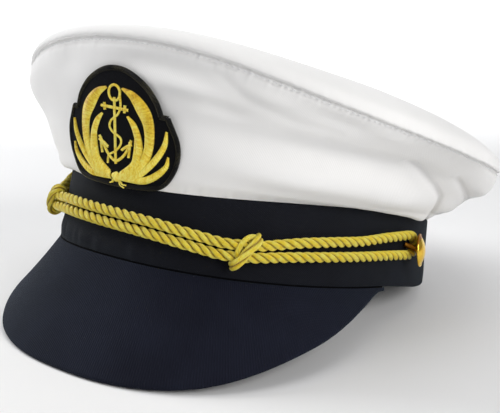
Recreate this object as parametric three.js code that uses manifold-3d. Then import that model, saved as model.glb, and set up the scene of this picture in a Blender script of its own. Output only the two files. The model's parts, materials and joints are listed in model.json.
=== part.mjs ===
// A captain's hat: a white cotton crown on a dark oval band, with a cloth-covered peak,
// a gold cord strap looped round two buttons, and an embroidered anchor badge.
// Millimetres. In the hat's own frame the band's lower edge lies in z = 0, the front
// is -Y and the wearer's left is +X. The whole hat is then pitched until it rests on
// the peak's front edge and the back of the band, and stands on z = 0.
import * as THREE from 'three';
import Module from 'manifold-3d';
import { mergeVertices } from 'three/addons/utils/BufferGeometryUtils.js';

const wasm = await Module();
wasm.setup();

// Band
const bandHalfWidth = 85.8;
const bandHalfLength = 103;
const bandWall = 2.5;
const bandFrontHeight = 33.1;
const bandSideHeight = 36.6;
const bandRearHeight = 25.2;
const bandLeanSide = 2.9; // how far the top edge leans in at the sides
const bandLeanEnd = 0.6; // and at the front and back
const ovalPower = 2.37;
const ovalTaper = 0.04; // the oval is wider behind, as a share of its half width

// Crown
const rimHalfWidth = 125;
const rimHalfLength = 120;
const rimSetBack = 4;
const rimPower = 2.2;
const rimTaper = -0.075; // the rim is wider in front
const rimFrontHeight = 99.6; // above the band's lower edge
const rimSideHeight = 68.4;
const rimRearHeight = 84;
const rimSkew = -2; // third and fourth waves of the rim's height
const rimShoulder = 2.3;
const crownWall = 1.8;
const crownDome = 21;
const crownDomePower = 2;
const crownRoll = 2.6; // how far the top cloth rolls out past the rim
const crownPuff = 8;

// Peak
const peakReach = 55.4;
const peakWall = 2.4;
const peakSpan = 90.7; // degrees each way from the front
const peakFan = 1.22; // how much the peak spreads past the band's own normals
const peakFlare = 3.5; // degrees that the peak flattens towards its edge
const peakTip = 1.2; // depth of the peak where it ends beside the band

// Cord strap, knots and buttons
const cordRadius = 2.45;
const knotRadius = 1.95;
const knotBackHalf = 0.7; // half thickness of a knot's turn where it lies flat on the band
const knotSlant = 0.5;
const knotTurnStep = 2.9;
const knotSlack = 0.5; // room between the strands and a knot's turns
const buttonRadius = 8.4;
const buttonDome = 3.6;
const buttonRim = 1.2;
const shankRadius = 1.4;
const shankReach = 8;
const buttonYaw = 18; // degrees that a button turns to the back
const buttonDroop = 10; // and down

// Badge
const badgeHalfWidth = 38.3;
const badgeHeight = 53.8;
const badgeOffset = 1.5; // from the hat's middle towards the wearer's left
const badgeThickness = 1.6;
const badgeRimRaise = 0.9;
const badgeSeat = 0.16; // the cloth's puff behind the badge, as in the crown's table
const threadRaise = 1.3;

const clearance = 0.3;
const joinTolerance = 0.015; // joined pieces keep no sliver thinner than this

// Shapes as shares of the sizes above; turn is in degrees, -90 is the front, 0 the wearer's left
const peakTable = [
  { at: 0, reach: 1, slope: 65.5 },
  { at: 0.35, reach: 0.912, slope: 61.6 },
  { at: 0.65, reach: 0.552, slope: 50.2 },
  { at: 0.87, reach: 0.21, slope: 44 },
  { at: 1, reach: 0, slope: 41.4 },
];

const crownTable = [
  { turn: -180, low: 0.5, waist: 0.35, high: 0.55 },
  { turn: -138, low: 0.66, waist: 0.54, high: 0.68 },
  { turn: -112, low: 0.16, waist: 0.16, high: 0.2 },
  { turn: -90, low: 0.16, waist: 0.16, high: 0.16 },
  { turn: -66, low: 0.16, waist: 0.16, high: 0.16 },
  { turn: -40, low: 0.5, waist: 0, high: 0.05 },
  { turn: -5, low: 0.55, waist: 0.1, high: 0.12 },
  { turn: 25, low: 0.6, waist: 0.45, high: 0.62 },
  { turn: 60, low: 0.55, waist: 0.5, high: 0.8 },
  { turn: 90, low: 0.5, waist: 0.4, high: 0.6 },
  { turn: 135, low: 0.5, waist: 0.35, high: 0.5 },
];
const crownShares = [0, 0.12, 0.5, 0.83, 1];

// Soft folds of the crown's side: where, how wide, and how far out (or in) they stand
const foldTable = [
  { turn: -34, share: 0.3, turnSpan: 18, shareSpan: 0.16, height: 0.3 },
  { turn: -30, share: 0.66, turnSpan: 26, shareSpan: 0.16, height: -0.32 },
  { turn: -61, share: 0.72, turnSpan: 6, shareSpan: 0.12, height: -0.18 },
  { turn: 8, share: 0.3, turnSpan: 12, shareSpan: 0.2, height: 0.25 },
  { turn: 30, share: 0.4, turnSpan: 6, shareSpan: 0.26, height: -0.55 },
  { turn: 46, share: 0.45, turnSpan: 8, shareSpan: 0.24, height: 0.35 },
  { turn: 62, share: 0.6, turnSpan: 6, shareSpan: 0.24, height: -0.5 },
  { turn: 118, share: 0.5, turnSpan: 9, shareSpan: 0.26, height: -0.4 },
  { turn: 150, share: 0.45, turnSpan: 8, shareSpan: 0.24, height: -0.45 },
  { turn: -160, share: 0.55, turnSpan: 12, shareSpan: 0.22, height: -0.3 },
];

// The strap's two strands: the height of their middle as a share of the band's height,
// and how far apart their centres lie, in cord diameters
const strapTable = [
  { turn: -189, middle: 0.56, apart: 2.1 },
  { turn: -180, middle: 0.58, apart: 1.9 },
  { turn: -168, middle: 0.61, apart: 1.6 },
  { turn: -155, middle: 0.66, apart: 1.4 },
  { turn: -144, middle: 0.67, apart: 1.25 },
  { turn: -136, middle: 0.61, apart: 1.1 },
  { turn: -129, middle: 0.53, apart: 1.08 },
  { turn: -121, middle: 0.525, apart: 1.08 },
  { turn: -110, middle: 0.55, apart: 1.15 },
  { turn: -95, middle: 0.55, apart: 1.08 },
  { turn: -77, middle: 0.51, apart: 1.08 },
  { turn: -62, middle: 0.43, apart: 1.08 },
  { turn: -54, middle: 0.385, apart: 1.08 },
  { turn: -47, middle: 0.385, apart: 1.08 },
  { turn: -41, middle: 0.4, apart: 1.08 },
  { turn: -30, middle: 0.45, apart: 1.3 },
  { turn: -20, middle: 0.48, apart: 1.4 },
  { turn: -9, middle: 0.51, apart: 1.5 },
  { turn: 1, middle: 0.56, apart: 1.85 },
  { turn: 8, middle: 0.585, apart: 2.05 },
];
const knotTurns = { left: -47.5, right: -126 };
const knotLiftSpan = 9; // degrees over which the strands rise to pass through a knot

// Right half of the badge's outline and of its embroidery, from its foot's middle
const badgeOutline = [
  [0, 0], [0.26, 0.003], [0.5, 0.01], [0.76, 0.03], [0.9, 0.085], [0.985, 0.2], [1, 0.32], [0.955, 0.45],
  [0.86, 0.56], [0.75, 0.662], [0.69, 0.672], [0.6, 0.765], [0.47, 0.865], [0.32, 0.935],
  [0.16, 0.985], [0, 1],
];
const leafTable = [
  [[0.13, 0.825, 0.1], [0.28, 0.777, 0.5], [0.43, 0.67, 0.85], [0.53, 0.545, 0.72],
    [0.56, 0.38, 0.66], [0.51, 0.25, 0.68], [0.37, 0.135, 0.6], [0.09, 0.08, 0.4]],
  [[0.215, 0.6, 0.1], [0.315, 0.53, 0.38], [0.395, 0.415, 0.48], [0.42, 0.295, 0.5],
    [0.36, 0.17, 0.5], [0.1, 0.09, 0.4]],
  [[0.35, 0.415, 0.1], [0.368, 0.31, 0.34], [0.325, 0.2, 0.4], [0.11, 0.1, 0.35]],
  [[0.785, 0.525, 0.1], [0.785, 0.415, 0.33], [0.71, 0.305, 0.42], [0.58, 0.2, 0.42],
    [0.38, 0.105, 0.38], [0.1, 0.085, 0.35]],
  [[0.86, 0.315, 0.1], [0.85, 0.23, 0.32], [0.715, 0.14, 0.44], [0.535, 0.085, 0.42],
    [0.3, 0.072, 0.33], [0.09, 0.075, 0.33]],
];
const leafHalfWidth = 4; // a leaf's half width is its last column's share of this
const anchorTable = {
  ringAt: [0, 0.795], ringSize: [0.092, 0.062],
  shank: [[0, 0.745], [0.004, 0.56], [0.008, 0.38], [0.013, 0.19]],
  stock: [[-0.215, 0.667], [0, 0.66], [0.215, 0.653]],
  arms: [[-0.277, 0.405], [-0.2, 0.33], [-0.11, 0.255], [0.012, 0.212], [0.15, 0.262], [0.24, 0.34],
    [0.28, 0.405]],
  barbs: [
    [[-0.283, 0.375], [-0.2, 0.352], [-0.125, 0.322]], [[-0.256, 0.392], [-0.25, 0.33], [-0.236, 0.268]],
    [[0.29, 0.371], [0.205, 0.347], [0.13, 0.316]], [[0.261, 0.388], [0.258, 0.325], [0.245, 0.26]],
  ],
  crosses: [[[-0.168, 0.692], [-0.163, 0.637]], [[0.168, 0.688], [0.163, 0.63]]],
  rope: [[0.085, 0.78], [0.1, 0.68], [0.055, 0.61], [-0.06, 0.55], [-0.085, 0.495], [-0.02, 0.45],
    [0.1, 0.41], [0.105, 0.36], [0.02, 0.3], [-0.11, 0.25], [-0.135, 0.185]],
};
const tieHalfWidth = 0.072; // of the badge's half width
const barHalfWidth = 0.8;
const ropeHalfWidth = 0.55;

// Facets
const aroundBand = 64;
const crownRows = 10;
const topRows = 6;
const peakColumns = 34;
const peakRows = 5;
const cordSides = 8;
const strapSteps = 48;
const knotSteps = 18;
const knotSides = 6;

const degree = Math.PI / 180;
const front = -90 * degree;
const mix = (a, b, share) => a + (b - a) * share;
const up = new THREE.Vector3(0, 0, 1);

// A smooth curve through a table's rows, x rising
function smoothValue(xs, ys, x) {
  const last = xs.length - 1;
  let i = 0;
  while (i < last - 1 && x > xs[i + 1]) i += 1;
  const slope = (k) => {
    const before = Math.max(k - 1, 0);
    const after = Math.min(k + 1, last);
    return (ys[after] - ys[before]) / (xs[after] - xs[before]);
  };
  const span = xs[i + 1] - xs[i];
  const s = Math.min(Math.max((x - xs[i]) / span, 0), 1);
  const s2 = s * s;
  const s3 = s2 * s;
  return (2 * s3 - 3 * s2 + 1) * ys[i] + (s3 - 2 * s2 + s) * span * slope(i)
    + (3 * s2 - 2 * s3) * ys[i + 1] + (s3 - s2) * span * slope(i + 1);
}

function columnValue(table, key, column, x) {
  return smoothValue(table.map((row) => row[key]), table.map((row) => row[column]), x);
}

// The same for a table that goes all the way round
function roundValue(table, column, turn) {
  const degrees = ((turn / degree + 180) % 360 + 360) % 360 - 180;
  const rows = [
    { ...table[table.length - 1], turn: table[table.length - 1].turn - 360 }, ...table,
    { ...table[0], turn: table[0].turn + 360 }, { ...table[1], turn: table[1].turn + 360 },
  ];
  return columnValue(rows, 'turn', column, degrees);
}

// Ovals and heights round the hat
function oval(turn, halfWidth, halfLength, power, taper) {
  const c = Math.cos(turn);
  const s = Math.sin(turn);
  return new THREE.Vector3(
    halfWidth * Math.sign(c) * Math.abs(c) ** (2 / power) * (1 + taper * s),
    halfLength * Math.sign(s) * Math.abs(s) ** (2 / power), 0);
}

function heightRound(turn, frontHeight, sideHeight, rearHeight) {
  const mean = (frontHeight + rearHeight + 2 * sideHeight) / 4;
  return mean + (rearHeight - frontHeight) / 2 * Math.sin(turn)
    + (sideHeight - mean) * Math.cos(2 * turn);
}

function bandHeight(turn) {
  return heightRound(turn, bandFrontHeight, bandSideHeight, bandRearHeight);
}

// The band's outer face: share 0 is its lower edge, 1 its upper edge
function bandFace(turn, share) {
  const low = oval(turn, bandHalfWidth, bandHalfLength, ovalPower, ovalTaper);
  const high = oval(turn, bandHalfWidth - bandLeanSide, bandHalfLength - bandLeanEnd,
    ovalPower, ovalTaper);
  return low.lerp(high, share).setZ(bandHeight(turn) * share);
}

function outwards(turn) {
  const step = 0.01;
  const along = bandFace(turn + step, 0).sub(bandFace(turn - step, 0));
  return new THREE.Vector3(along.y, -along.x, 0).normalize();
}

function onBand(turn, share, proud) {
  return bandFace(turn, share).addScaledVector(outwards(turn), proud);
}

function rimPoint(turn, inset) {
  const point = oval(turn, rimHalfWidth - inset, rimHalfLength - inset, rimPower, rimTaper);
  point.y += rimSetBack;
  point.z = heightRound(turn, rimFrontHeight, rimSideHeight, rimRearHeight)
    + rimSkew * (Math.sin(3 * turn) + Math.sin(turn)) + rimShoulder * (Math.cos(4 * turn) - 1);
  return point;
}

// Arc length along a line round the hat, to place things by their distance from the front
function arcMeasure(lineAt) {
  const turns = Array.from({ length: 721 }, (_, i) => front + (i - 360) * degree / 2);
  const lengths = [0];
  for (let i = 1; i < turns.length; i += 1) {
    lengths.push(lengths[i - 1] + lineAt(turns[i]).distanceTo(lineAt(turns[i - 1])));
  }
  const middle = lengths[360];
  const turnAt = (arc) => {
    const found = lengths.findIndex((length) => length > arc + middle);
    const i = found < 1 ? lengths.length - 1 : found;
    const share = (arc + middle - lengths[i - 1]) / (lengths[i] - lengths[i - 1]);
    return mix(turns[i - 1], turns[i], share);
  };
  const arcAt = (turn) => {
    const place = (turn - turns[0]) / (turns[1] - turns[0]);
    const i = Math.min(Math.max(Math.floor(place), 0), turns.length - 2);
    return mix(lengths[i], lengths[i + 1], place - i) - middle;
  };
  return { turnAt, arcAt };
}
const bandArc = arcMeasure((turn) => bandFace(turn, 0.5));
const badgeArc = arcMeasure((turn) => bandFace(turn, 1).lerp(rimPoint(turn, 0), 0.5));

// The crown's side cloth, from the band (share 0) to the rim (share 1)
function foldHeight(turn, share) {
  let height = 0;
  for (const fold of foldTable) {
    const away = Math.atan2(Math.sin(turn - fold.turn * degree), Math.cos(turn - fold.turn * degree));
    const across = away / (fold.turnSpan * degree);
    const along = (share - fold.share) / fold.shareSpan;
    height += fold.height * Math.exp(-across * across - along * along);
  }
  return height * Math.sin(Math.PI * share) ** 0.5;
}

function sideLine(turn) {
  const low = bandFace(turn, 1);
  low.z += clearance;
  const high = rimPoint(turn, 0);
  high.z -= clearance / 2;
  const chord = high.clone().sub(low).normalize();
  const out = outwards(turn);
  out.addScaledVector(chord, -out.dot(chord)).normalize();
  return { low, high, chord, out };
}

function sideFace(turn, share) {
  const { low, high, out } = sideLine(turn);
  const stations = [
    0, roundValue(crownTable, 'low', turn), roundValue(crownTable, 'waist', turn),
    roundValue(crownTable, 'high', turn), 0,
  ];
  const puff = smoothValue(crownShares, stations, share) + foldHeight(turn, share);
  return low.lerp(high, share).addScaledVector(out, crownPuff * puff);
}

function sideNormal(turn, share) {
  const step = 0.01;
  const low = Math.max(share - step, 0);
  const high = Math.min(share + step, 1);
  const round = sideFace(turn + step, share).sub(sideFace(turn - step, share));
  const rise = sideFace(turn, high).sub(sideFace(turn, low));
  return round.cross(rise).normalize();
}

function sideInside(turn, share) {
  const edge = Math.min(share, 1 - share) / 0.1;
  const normal = sideNormal(turn, share).lerp(outwards(turn), Math.max(1 - edge, 0)).normalize();
  return sideFace(turn, share).addScaledVector(normal, -crownWall);
}

// The crown's top, from the rim (share 0) to its middle (share 1)
function topFace(turn, share, inset) {
  const radius = 1 - share ** 1.5;
  const rise = Math.max(1 - radius ** crownDomePower, 0) ** (1 / crownDomePower);
  const middle = (rimFrontHeight + rimRearHeight + 2 * rimSideHeight) / 4;
  const rim = rimPoint(turn, inset);
  const tilt = (rimRearHeight - rimFrontHeight) / 2 * Math.sin(turn);
  const wave = rim.z - middle - tilt;
  const point = new THREE.Vector3(0, rimSetBack, 0).lerp(rim, radius);
  point.z = middle + tilt * radius + wave * radius ** 2 + (crownDome - inset) * rise + clearance / 2;
  return point.addScaledVector(outwards(turn), crownRoll * 4 * rise * (1 - rise) * radius);
}

// The peak's upper face: across runs from -1 to 1, share from the band to the edge
function peakFace(across, share) {
  const turn = front + across * peakSpan * degree;
  const point = bandFace(turn, 0);
  point.z -= clearance;
  const normal = outwards(turn);
  const angle = Math.atan2(normal.x, -normal.y) * peakFan;
  const away = new THREE.Vector3(Math.sin(angle), -Math.cos(angle), 0);
  const rows = [{ ...peakTable[1], at: -peakTable[1].at }, ...peakTable];
  const at = Math.abs(across);
  const reach = Math.hypot(peakReach * columnValue(rows, 'at', 'reach', at), peakTip);
  const slope = columnValue(rows, 'at', 'slope', at) * degree;
  const flare = peakFlare * degree;
  const middle = slope + flare / 2 * (1 - share);
  point.addScaledVector(away, reach * share * Math.cos(middle));
  point.z -= reach * share * Math.sin(middle);
  return point;
}

function peakUnder(across, share) {
  const step = 0.01;
  const round = peakFace(Math.min(across + step, 1), share).sub(peakFace(Math.max(across - step, -1), share));
  const fall = peakFace(across, share + step).sub(peakFace(across, share));
  const normal = fall.cross(round).normalize();
  return peakFace(across, share).addScaledVector(normal, -peakWall);
}

// Closed meshes from rows of points
function closedGeometry(points, faces) {
  let volume = 0;
  for (const [a, b, c] of faces) {
    volume += points[a].dot(points[b].clone().cross(points[c]));
  }
  const index = faces.flatMap(([a, b, c]) => (volume > 0 ? [a, b, c] : [a, c, b]));
  const geometry = new THREE.BufferGeometry();
  geometry.setAttribute('position', new THREE.Float32BufferAttribute(points.flatMap((p) => p.toArray()), 3));
  geometry.setIndex(index);
  return geometry;
}

function addQuad(faces, a, b, c, d) {
  for (const face of [[a, b, c], [a, c, d]]) {
    if (new Set(face).size === 3) faces.push(face);
  }
}

// A wall between two skins, each a function of (column, row); round means the columns
// close on themselves, and poled that the last row is one point
function wallGeometry(outer, inner, columns, rows, { round = false, poled = false }) {
  const points = [];
  const numbers = [outer, inner].map((skin) => {
    const grid = [];
    for (let i = 0; i < columns; i += 1) {
      grid.push([]);
      for (let j = 0; j < rows; j += 1) {
        if (poled && j === rows - 1 && i > 0) {
          grid[i].push(grid[0][j]);
        } else {
          points.push(skin(i, j));
          grid[i].push(points.length - 1);
        }
      }
    }
    return grid;
  });
  const faces = [];
  const lastColumn = round ? columns : columns - 1;
  for (let i = 0; i < lastColumn; i += 1) {
    const k = (i + 1) % columns;
    for (let j = 0; j < rows - 1; j += 1) {
      addQuad(faces, numbers[0][i][j], numbers[0][k][j], numbers[0][k][j + 1], numbers[0][i][j + 1]);
      addQuad(faces, numbers[1][i][j], numbers[1][i][j + 1], numbers[1][k][j + 1], numbers[1][k][j]);
    }
    for (const j of poled ? [0] : [0, rows - 1]) {
      const [o, n] = numbers;
      if (j === 0) addQuad(faces, o[i][j], n[i][j], n[k][j], o[k][j]);
      else addQuad(faces, o[i][j], o[k][j], n[k][j], n[i][j]);
    }
  }
  if (!round) {
    for (let j = 0; j < rows - 1; j += 1) {
      const [o, n] = numbers;
      const e = columns - 1;
      addQuad(faces, o[0][j], o[0][j + 1], n[0][j + 1], n[0][j]);
      addQuad(faces, o[e][j], n[e][j], n[e][j + 1], o[e][j + 1]);
    }
  }
  return closedGeometry(points, faces);
}

// A solid through closed sections of points; round joins the last section to the first
function loftGeometry(sections, round) {
  const sides = sections[0].length;
  const points = sections.flat();
  const faces = [];
  const spans = round ? sections.length : sections.length - 1;
  for (let i = 0; i < spans; i += 1) {
    const next = ((i + 1) % sections.length) * sides;
    for (let j = 0; j < sides; j += 1) {
      const k = (j + 1) % sides;
      addQuad(faces, i * sides + j, i * sides + k, next + k, next + j);
    }
  }
  if (!round) {
    const end = (sections.length - 1) * sides;
    for (let j = 1; j < sides - 1; j += 1) {
      faces.push([0, j + 1, j], [end, end + j, end + j + 1]);
    }
  }
  return closedGeometry(points, faces);
}

function toSolid(geometry) {
  const plain = geometry.clone();
  plain.deleteAttribute('normal');
  plain.deleteAttribute('uv');
  const merged = mergeVertices(plain, 1e-4);
  return new wasm.Manifold(new wasm.Mesh({
    numProp: 3,
    vertProperties: new Float32Array(merged.attributes.position.array),
    triVerts: new Uint32Array(merged.index.array),
  }));
}

function toGeometry(solid) {
  const mesh = solid.getMesh();
  const geometry = new THREE.BufferGeometry();
  geometry.setAttribute('position', new THREE.BufferAttribute(new Float32Array(mesh.vertProperties), 3));
  geometry.setIndex(new THREE.BufferAttribute(new Uint32Array(mesh.triVerts), 1));
  return geometry;
}

function joined(geometries) {
  const whole = geometries.map(toSolid).reduce((sum, solid) => sum.add(solid));
  return toGeometry(whole.setTolerance(joinTolerance));
}

// Moves each point of a flat model (across, up, proud) to its place on the hat
function wrapped(geometry, place) {
  const position = geometry.attributes.position;
  for (let i = 0; i < position.count; i += 1) {
    const point = place(position.getX(i), position.getY(i), position.getZ(i));
    position.setXYZ(i, point.x, point.y, point.z);
  }
  return geometry;
}

// Crown, band and peak
const turnOf = (column) => (column / aroundBand) * 2 * Math.PI;

function makeCrownTop() {
  return wallGeometry(
    (i, j) => topFace(turnOf(i), j / (topRows - 1), 0),
    (i, j) => topFace(turnOf(i), j / (topRows - 1), crownWall),
    aroundBand, topRows, { round: true, poled: true });
}

function makeCrownSide() {
  const shareOf = (row) => {
    const even = row / (crownRows - 1);
    return mix(even, even * even * (3 - 2 * even), 0.6);
  };
  return wallGeometry(
    (i, j) => sideFace(turnOf(i), shareOf(j)), (i, j) => sideInside(turnOf(i), shareOf(j)),
    aroundBand, crownRows, { round: true });
}

function makeBand() {
  return wallGeometry(
    (i, j) => onBand(turnOf(i), j, 0), (i, j) => onBand(turnOf(i), j, -bandWall),
    aroundBand, 2, { round: true });
}

function makePeak() {
  const acrossOf = (column) => {
    const even = (2 * column) / (peakColumns - 1) - 1;
    return Math.sign(even) * (1 - (1 - Math.abs(even)) ** 1.15);
  };
  return wallGeometry(
    (i, j) => peakFace(acrossOf(i), j / (peakRows - 1)),
    (i, j) => peakUnder(acrossOf(i), j / (peakRows - 1)),
    peakColumns, peakRows, {});
}

// Cord strap: a whole loop, out along the upper strand and back along the lower one.
// Points are (arc, height above the band's lower edge, distance from the band).
function strandLift(turn) {
  const rise = knotSlack + 2 * knotBackHalf;
  let lift = 0;
  for (const centre of Object.values(knotTurns)) {
    const away = (turn - centre) / knotLiftSpan;
    lift = Math.max(lift, rise * Math.exp(-(away ** 4)));
  }
  return lift;
}

function strandPoint(turnDegrees, side) {
  const turn = turnDegrees * degree;
  const middle = columnValue(strapTable, 'turn', 'middle', turnDegrees);
  const apart = columnValue(strapTable, 'turn', 'apart', turnDegrees);
  return new THREE.Vector3(bandArc.arcAt(turn), middle * bandHeight(turn) + side * apart * cordRadius,
    cordRadius + clearance + strandLift(turnDegrees));
}

function strapEnd(turnDegrees, way) {
  const high = strandPoint(turnDegrees, 1);
  const low = strandPoint(turnDegrees, -1);
  const radius = (high.y - low.y) / 2;
  const centre = high.clone().add(low).multiplyScalar(0.5);
  return [60, 30, 0, -30, -60].map((angle) => new THREE.Vector3(
    centre.x + way * radius * 1.15 * Math.cos(angle * degree),
    centre.y + radius * Math.sin(angle * degree), centre.z));
}

function strapRoute() {
  const first = strapTable[0].turn;
  const last = strapTable[strapTable.length - 1].turn;
  const turns = Array.from({ length: strapSteps + 1 }, (_, i) => mix(first, last, i / strapSteps));
  const upper = turns.map((turn) => strandPoint(turn, 1));
  const lower = turns.map((turn) => strandPoint(turn, -1)).reverse();
  const leftEnd = strapEnd(last, 1);
  const rightEnd = strapEnd(first, -1).reverse();
  return [...upper, ...leftEnd, ...lower, ...rightEnd];
}

function flatToBand(arc, height, proud) {
  const turn = bandArc.turnAt(arc);
  return onBand(turn, height / bandHeight(turn), proud);
}

function cordSection(centre, along) {
  const across = new THREE.Vector3(-along.y, along.x, 0).normalize();
  return Array.from({ length: cordSides }, (_, k) => {
    const angle = ((k + 0.5) / cordSides) * 2 * Math.PI;
    return centre.clone().addScaledVector(across, cordRadius * Math.cos(angle))
      .add(new THREE.Vector3(0, 0, cordRadius * Math.sin(angle)));
  });
}

function makeStrap() {
  const route = strapRoute();
  const sections = route.map((centre, i) => {
    const before = route[(i + route.length - 1) % route.length];
    const after = route[(i + 1) % route.length];
    return cordSection(centre, after.clone().sub(before).normalize());
  });
  return wrapped(loftGeometry(sections, true), flatToBand);
}

// A knot: two slanted turns of cord round both strands, flat where they pass behind.
// Its points are (along the strands, aside, in front) from the middle of the two.
function knotTurnSections(apart, shift) {
  const reach = cordRadius + knotSlack + knotRadius;
  const behind = cordRadius + knotSlack / 2 + knotBackHalf;
  const pointAt = (angle) => {
    const depth = Math.sin(angle) > 0 ? reach : behind;
    const height = reach * Math.cos(angle) + Math.sign(Math.cos(angle)) * (apart / 2)
      * Math.min(Math.abs(Math.cos(angle)) * 3, 1);
    return new THREE.Vector3(knotSlant * height + shift, height, depth * Math.sin(angle));
  };
  return Array.from({ length: knotSteps }, (_, i) => {
    const angle = (i / knotSteps) * 2 * Math.PI;
    const middle = pointAt(angle);
    const along = pointAt(angle + 0.05).sub(pointAt(angle - 0.05)).normalize();
    const aside = new THREE.Vector3(1, -knotSlant, 0).normalize();
    const radial = along.clone().cross(aside).normalize();
    const half = mix(knotRadius, knotBackHalf, Math.max(-Math.sin(angle), 0) ** 0.7);
    return Array.from({ length: knotSides }, (_, k) => {
      const around = (k / knotSides) * 2 * Math.PI;
      return middle.clone().addScaledVector(aside, knotRadius * Math.cos(around))
        .addScaledVector(radial, half * Math.sin(around));
    });
  });
}

function strandsMiddle(turnDegrees) {
  return strandPoint(turnDegrees, 1).add(strandPoint(turnDegrees, -1)).multiplyScalar(0.5);
}

function makeKnot(turnDegrees) {
  const centre = strandsMiddle(turnDegrees);
  const apart = 2 * (strandPoint(turnDegrees, 1).y - centre.y);
  const turns = [-knotTurnStep / 2, knotTurnStep / 2]
    .map((shift) => loftGeometry(knotTurnSections(apart, shift), true));
  return wrapped(joined(turns), (along, aside, proud) => {
    const middle = strandsMiddle(bandArc.turnAt(centre.x + along) / degree);
    return flatToBand(middle.x, middle.y + aside, middle.z + proud);
  });
}

// Buttons: a domed disc on a shank that stands out of the band inside the strap's end
function makeButton() {
  const profile = [
    [0, 0], [shankRadius, 0], [shankRadius, shankReach], [buttonRadius * 0.9, shankReach],
    [buttonRadius, shankReach + buttonRim * 0.5], [buttonRadius * 0.93, shankReach + buttonRim],
    [buttonRadius * 0.7, shankReach + buttonRim + buttonDome * 0.45],
    [buttonRadius * 0.38, shankReach + buttonRim + buttonDome * 0.85],
    [0, shankReach + buttonRim + buttonDome],
  ];
  return new THREE.LatheGeometry(profile.map(([x, y]) => new THREE.Vector2(x, y)), 20);
}

// Badge: points are (across, up, proud) on the straight lines from the band to the rim
function onBadge(across, high, proud) {
  const turn = badgeArc.turnAt(across + badgeOffset);
  const { low, chord, out } = sideLine(turn);
  return low.addScaledVector(chord, high).addScaledVector(out, crownPuff * badgeSeat + proud);
}

function badgeShape(points, mirror) {
  return points.map(([across, high]) => [mirror * across * badgeHalfWidth, high * badgeHeight]);
}

function makeBadgePatch() {
  const half = badgeShape(badgeOutline, 1);
  const ring = [...half, ...badgeShape(badgeOutline, -1).reverse().slice(1, -1)];
  const centre = badgeHeight * 0.47;
  const rings = [1, 0.98, 0.95, 0.74, 0.48, 0.24, 0];
  const raise = [0.35, 1, 0, 0, 0, 0, 0];
  const skin = (proud, raised) => (i, j) => {
    const [across, high] = ring[i];
    return onBadge(across * rings[j], mix(centre, high, rings[j]), proud + raised * raise[j] * badgeRimRaise);
  };
  return wallGeometry(skin(clearance + badgeThickness, 1), skin(clearance, 0),
    ring.length, rings.length, { round: true, poled: true });
}

// A raised strip of thread along a line; points are [across, up, half width]
const leafSection = [[-1, 0], [-0.75, 0.6], [0, 1], [0.75, 0.6], [1, 0]];
const barSection = [[-1, 0], [-0.55, 1], [0.55, 1], [1, 0]];
const ridgeSection = [[-1, 0], [0, 1.4], [1, 0]];

function threadStrip(points, mirror, steps, section, halfWidthOf, round = false) {
  const line = new THREE.CatmullRomCurve3(points.map(([across, high]) => new THREE.Vector3(
    mirror * across * badgeHalfWidth, high * badgeHeight, 0)), round, 'centripetal');
  const base = clearance * 2 + badgeThickness;
  const sections = Array.from({ length: round ? steps : steps + 1 }, (_, i) => {
    const u = i / steps;
    const centre = line.getPoint(u);
    const along = line.getTangent(u);
    const aside = new THREE.Vector3(-along.y, along.x, 0);
    const half = halfWidthOf(u);
    const crest = threadRaise * Math.min(0.55 + half / leafHalfWidth, 1);
    return section.map(([side, high]) => centre.clone()
      .addScaledVector(aside, side * half).setZ(base + high * crest));
  });
  return loftGeometry(sections, round);
}

function makeWreath(mirror) {
  const leaves = leafTable.map((points) => {
    const stations = points.map((_, i) => i / (points.length - 1));
    const widths = points.map((point) => point[2] * leafHalfWidth);
    return threadStrip(points, mirror, points.length + 2, leafSection,
      (u) => smoothValue(stations, widths, u));
  });
  return wrapped(joined(leaves), onBadge);
}

function makeWreathTie() {
  const line = [[-tieHalfWidth, 0.08], [0, 0.077], [tieHalfWidth, 0.074]];
  const halfHeight = (u) => leafHalfWidth * (0.25 + 0.32 * Math.sin(Math.PI * u));
  return wrapped(threadStrip(line, 1, 6, leafSection, halfHeight), onBadge);
}

function makeAnchor() {
  const ring = Array.from({ length: 12 }, (_, i) => {
    const angle = ((i + 0.5) / 12) * 2 * Math.PI;
    return [anchorTable.ringAt[0] + anchorTable.ringSize[0] * Math.sin(angle),
      anchorTable.ringAt[1] - anchorTable.ringSize[1] * Math.cos(angle)];
  });
  const bars = [anchorTable.shank, anchorTable.stock, anchorTable.arms, ...anchorTable.barbs,
    ...anchorTable.crosses]
    .map((line) => threadStrip(line, 1, line.length + 1, barSection, () => barHalfWidth));
  const eye = threadStrip(ring, 1, 12, barSection, () => barHalfWidth * 0.85, true);
  const rope = threadStrip(anchorTable.rope, 1, 18, ridgeSection, () => ropeHalfWidth);
  return wrapped(joined([...bars, eye, rope]), onBadge);
}

// Finishes
const finishes = {
  whiteCotton: { color: 0xe9e8e8, roughness: 0.85, metalness: 0 },
  darkTwill: { color: 0x14161f, roughness: 0.75, metalness: 0 },
  blackFelt: { color: 0x0f1016, roughness: 0.9, metalness: 0 },
  goldThread: { color: 0xe0c832, roughness: 0.45, metalness: 0.1 },
  goldMetal: { color: 0xd9a420, roughness: 0.25, metalness: 0.9 },
};

function piece(name, geometry, finish) {
  const mesh = new THREE.Mesh(geometry, new THREE.MeshStandardMaterial(finishes[finish]));
  mesh.name = name;
  return mesh;
}

function makeButtonPiece(name, row, way) {
  const middle = strandsMiddle(row.turn);
  const button = piece(name, makeButton(), 'goldMetal');
  const axis = outwards(row.turn * degree).applyAxisAngle(up, way * buttonYaw * degree);
  axis.multiplyScalar(Math.cos(buttonDroop * degree)).setZ(-Math.sin(buttonDroop * degree));
  button.quaternion.setFromUnitVectors(new THREE.Vector3(0, 1, 0), axis);
  button.position.copy(flatToBand(middle.x, middle.y, clearance * 2));
  return button;
}

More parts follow.
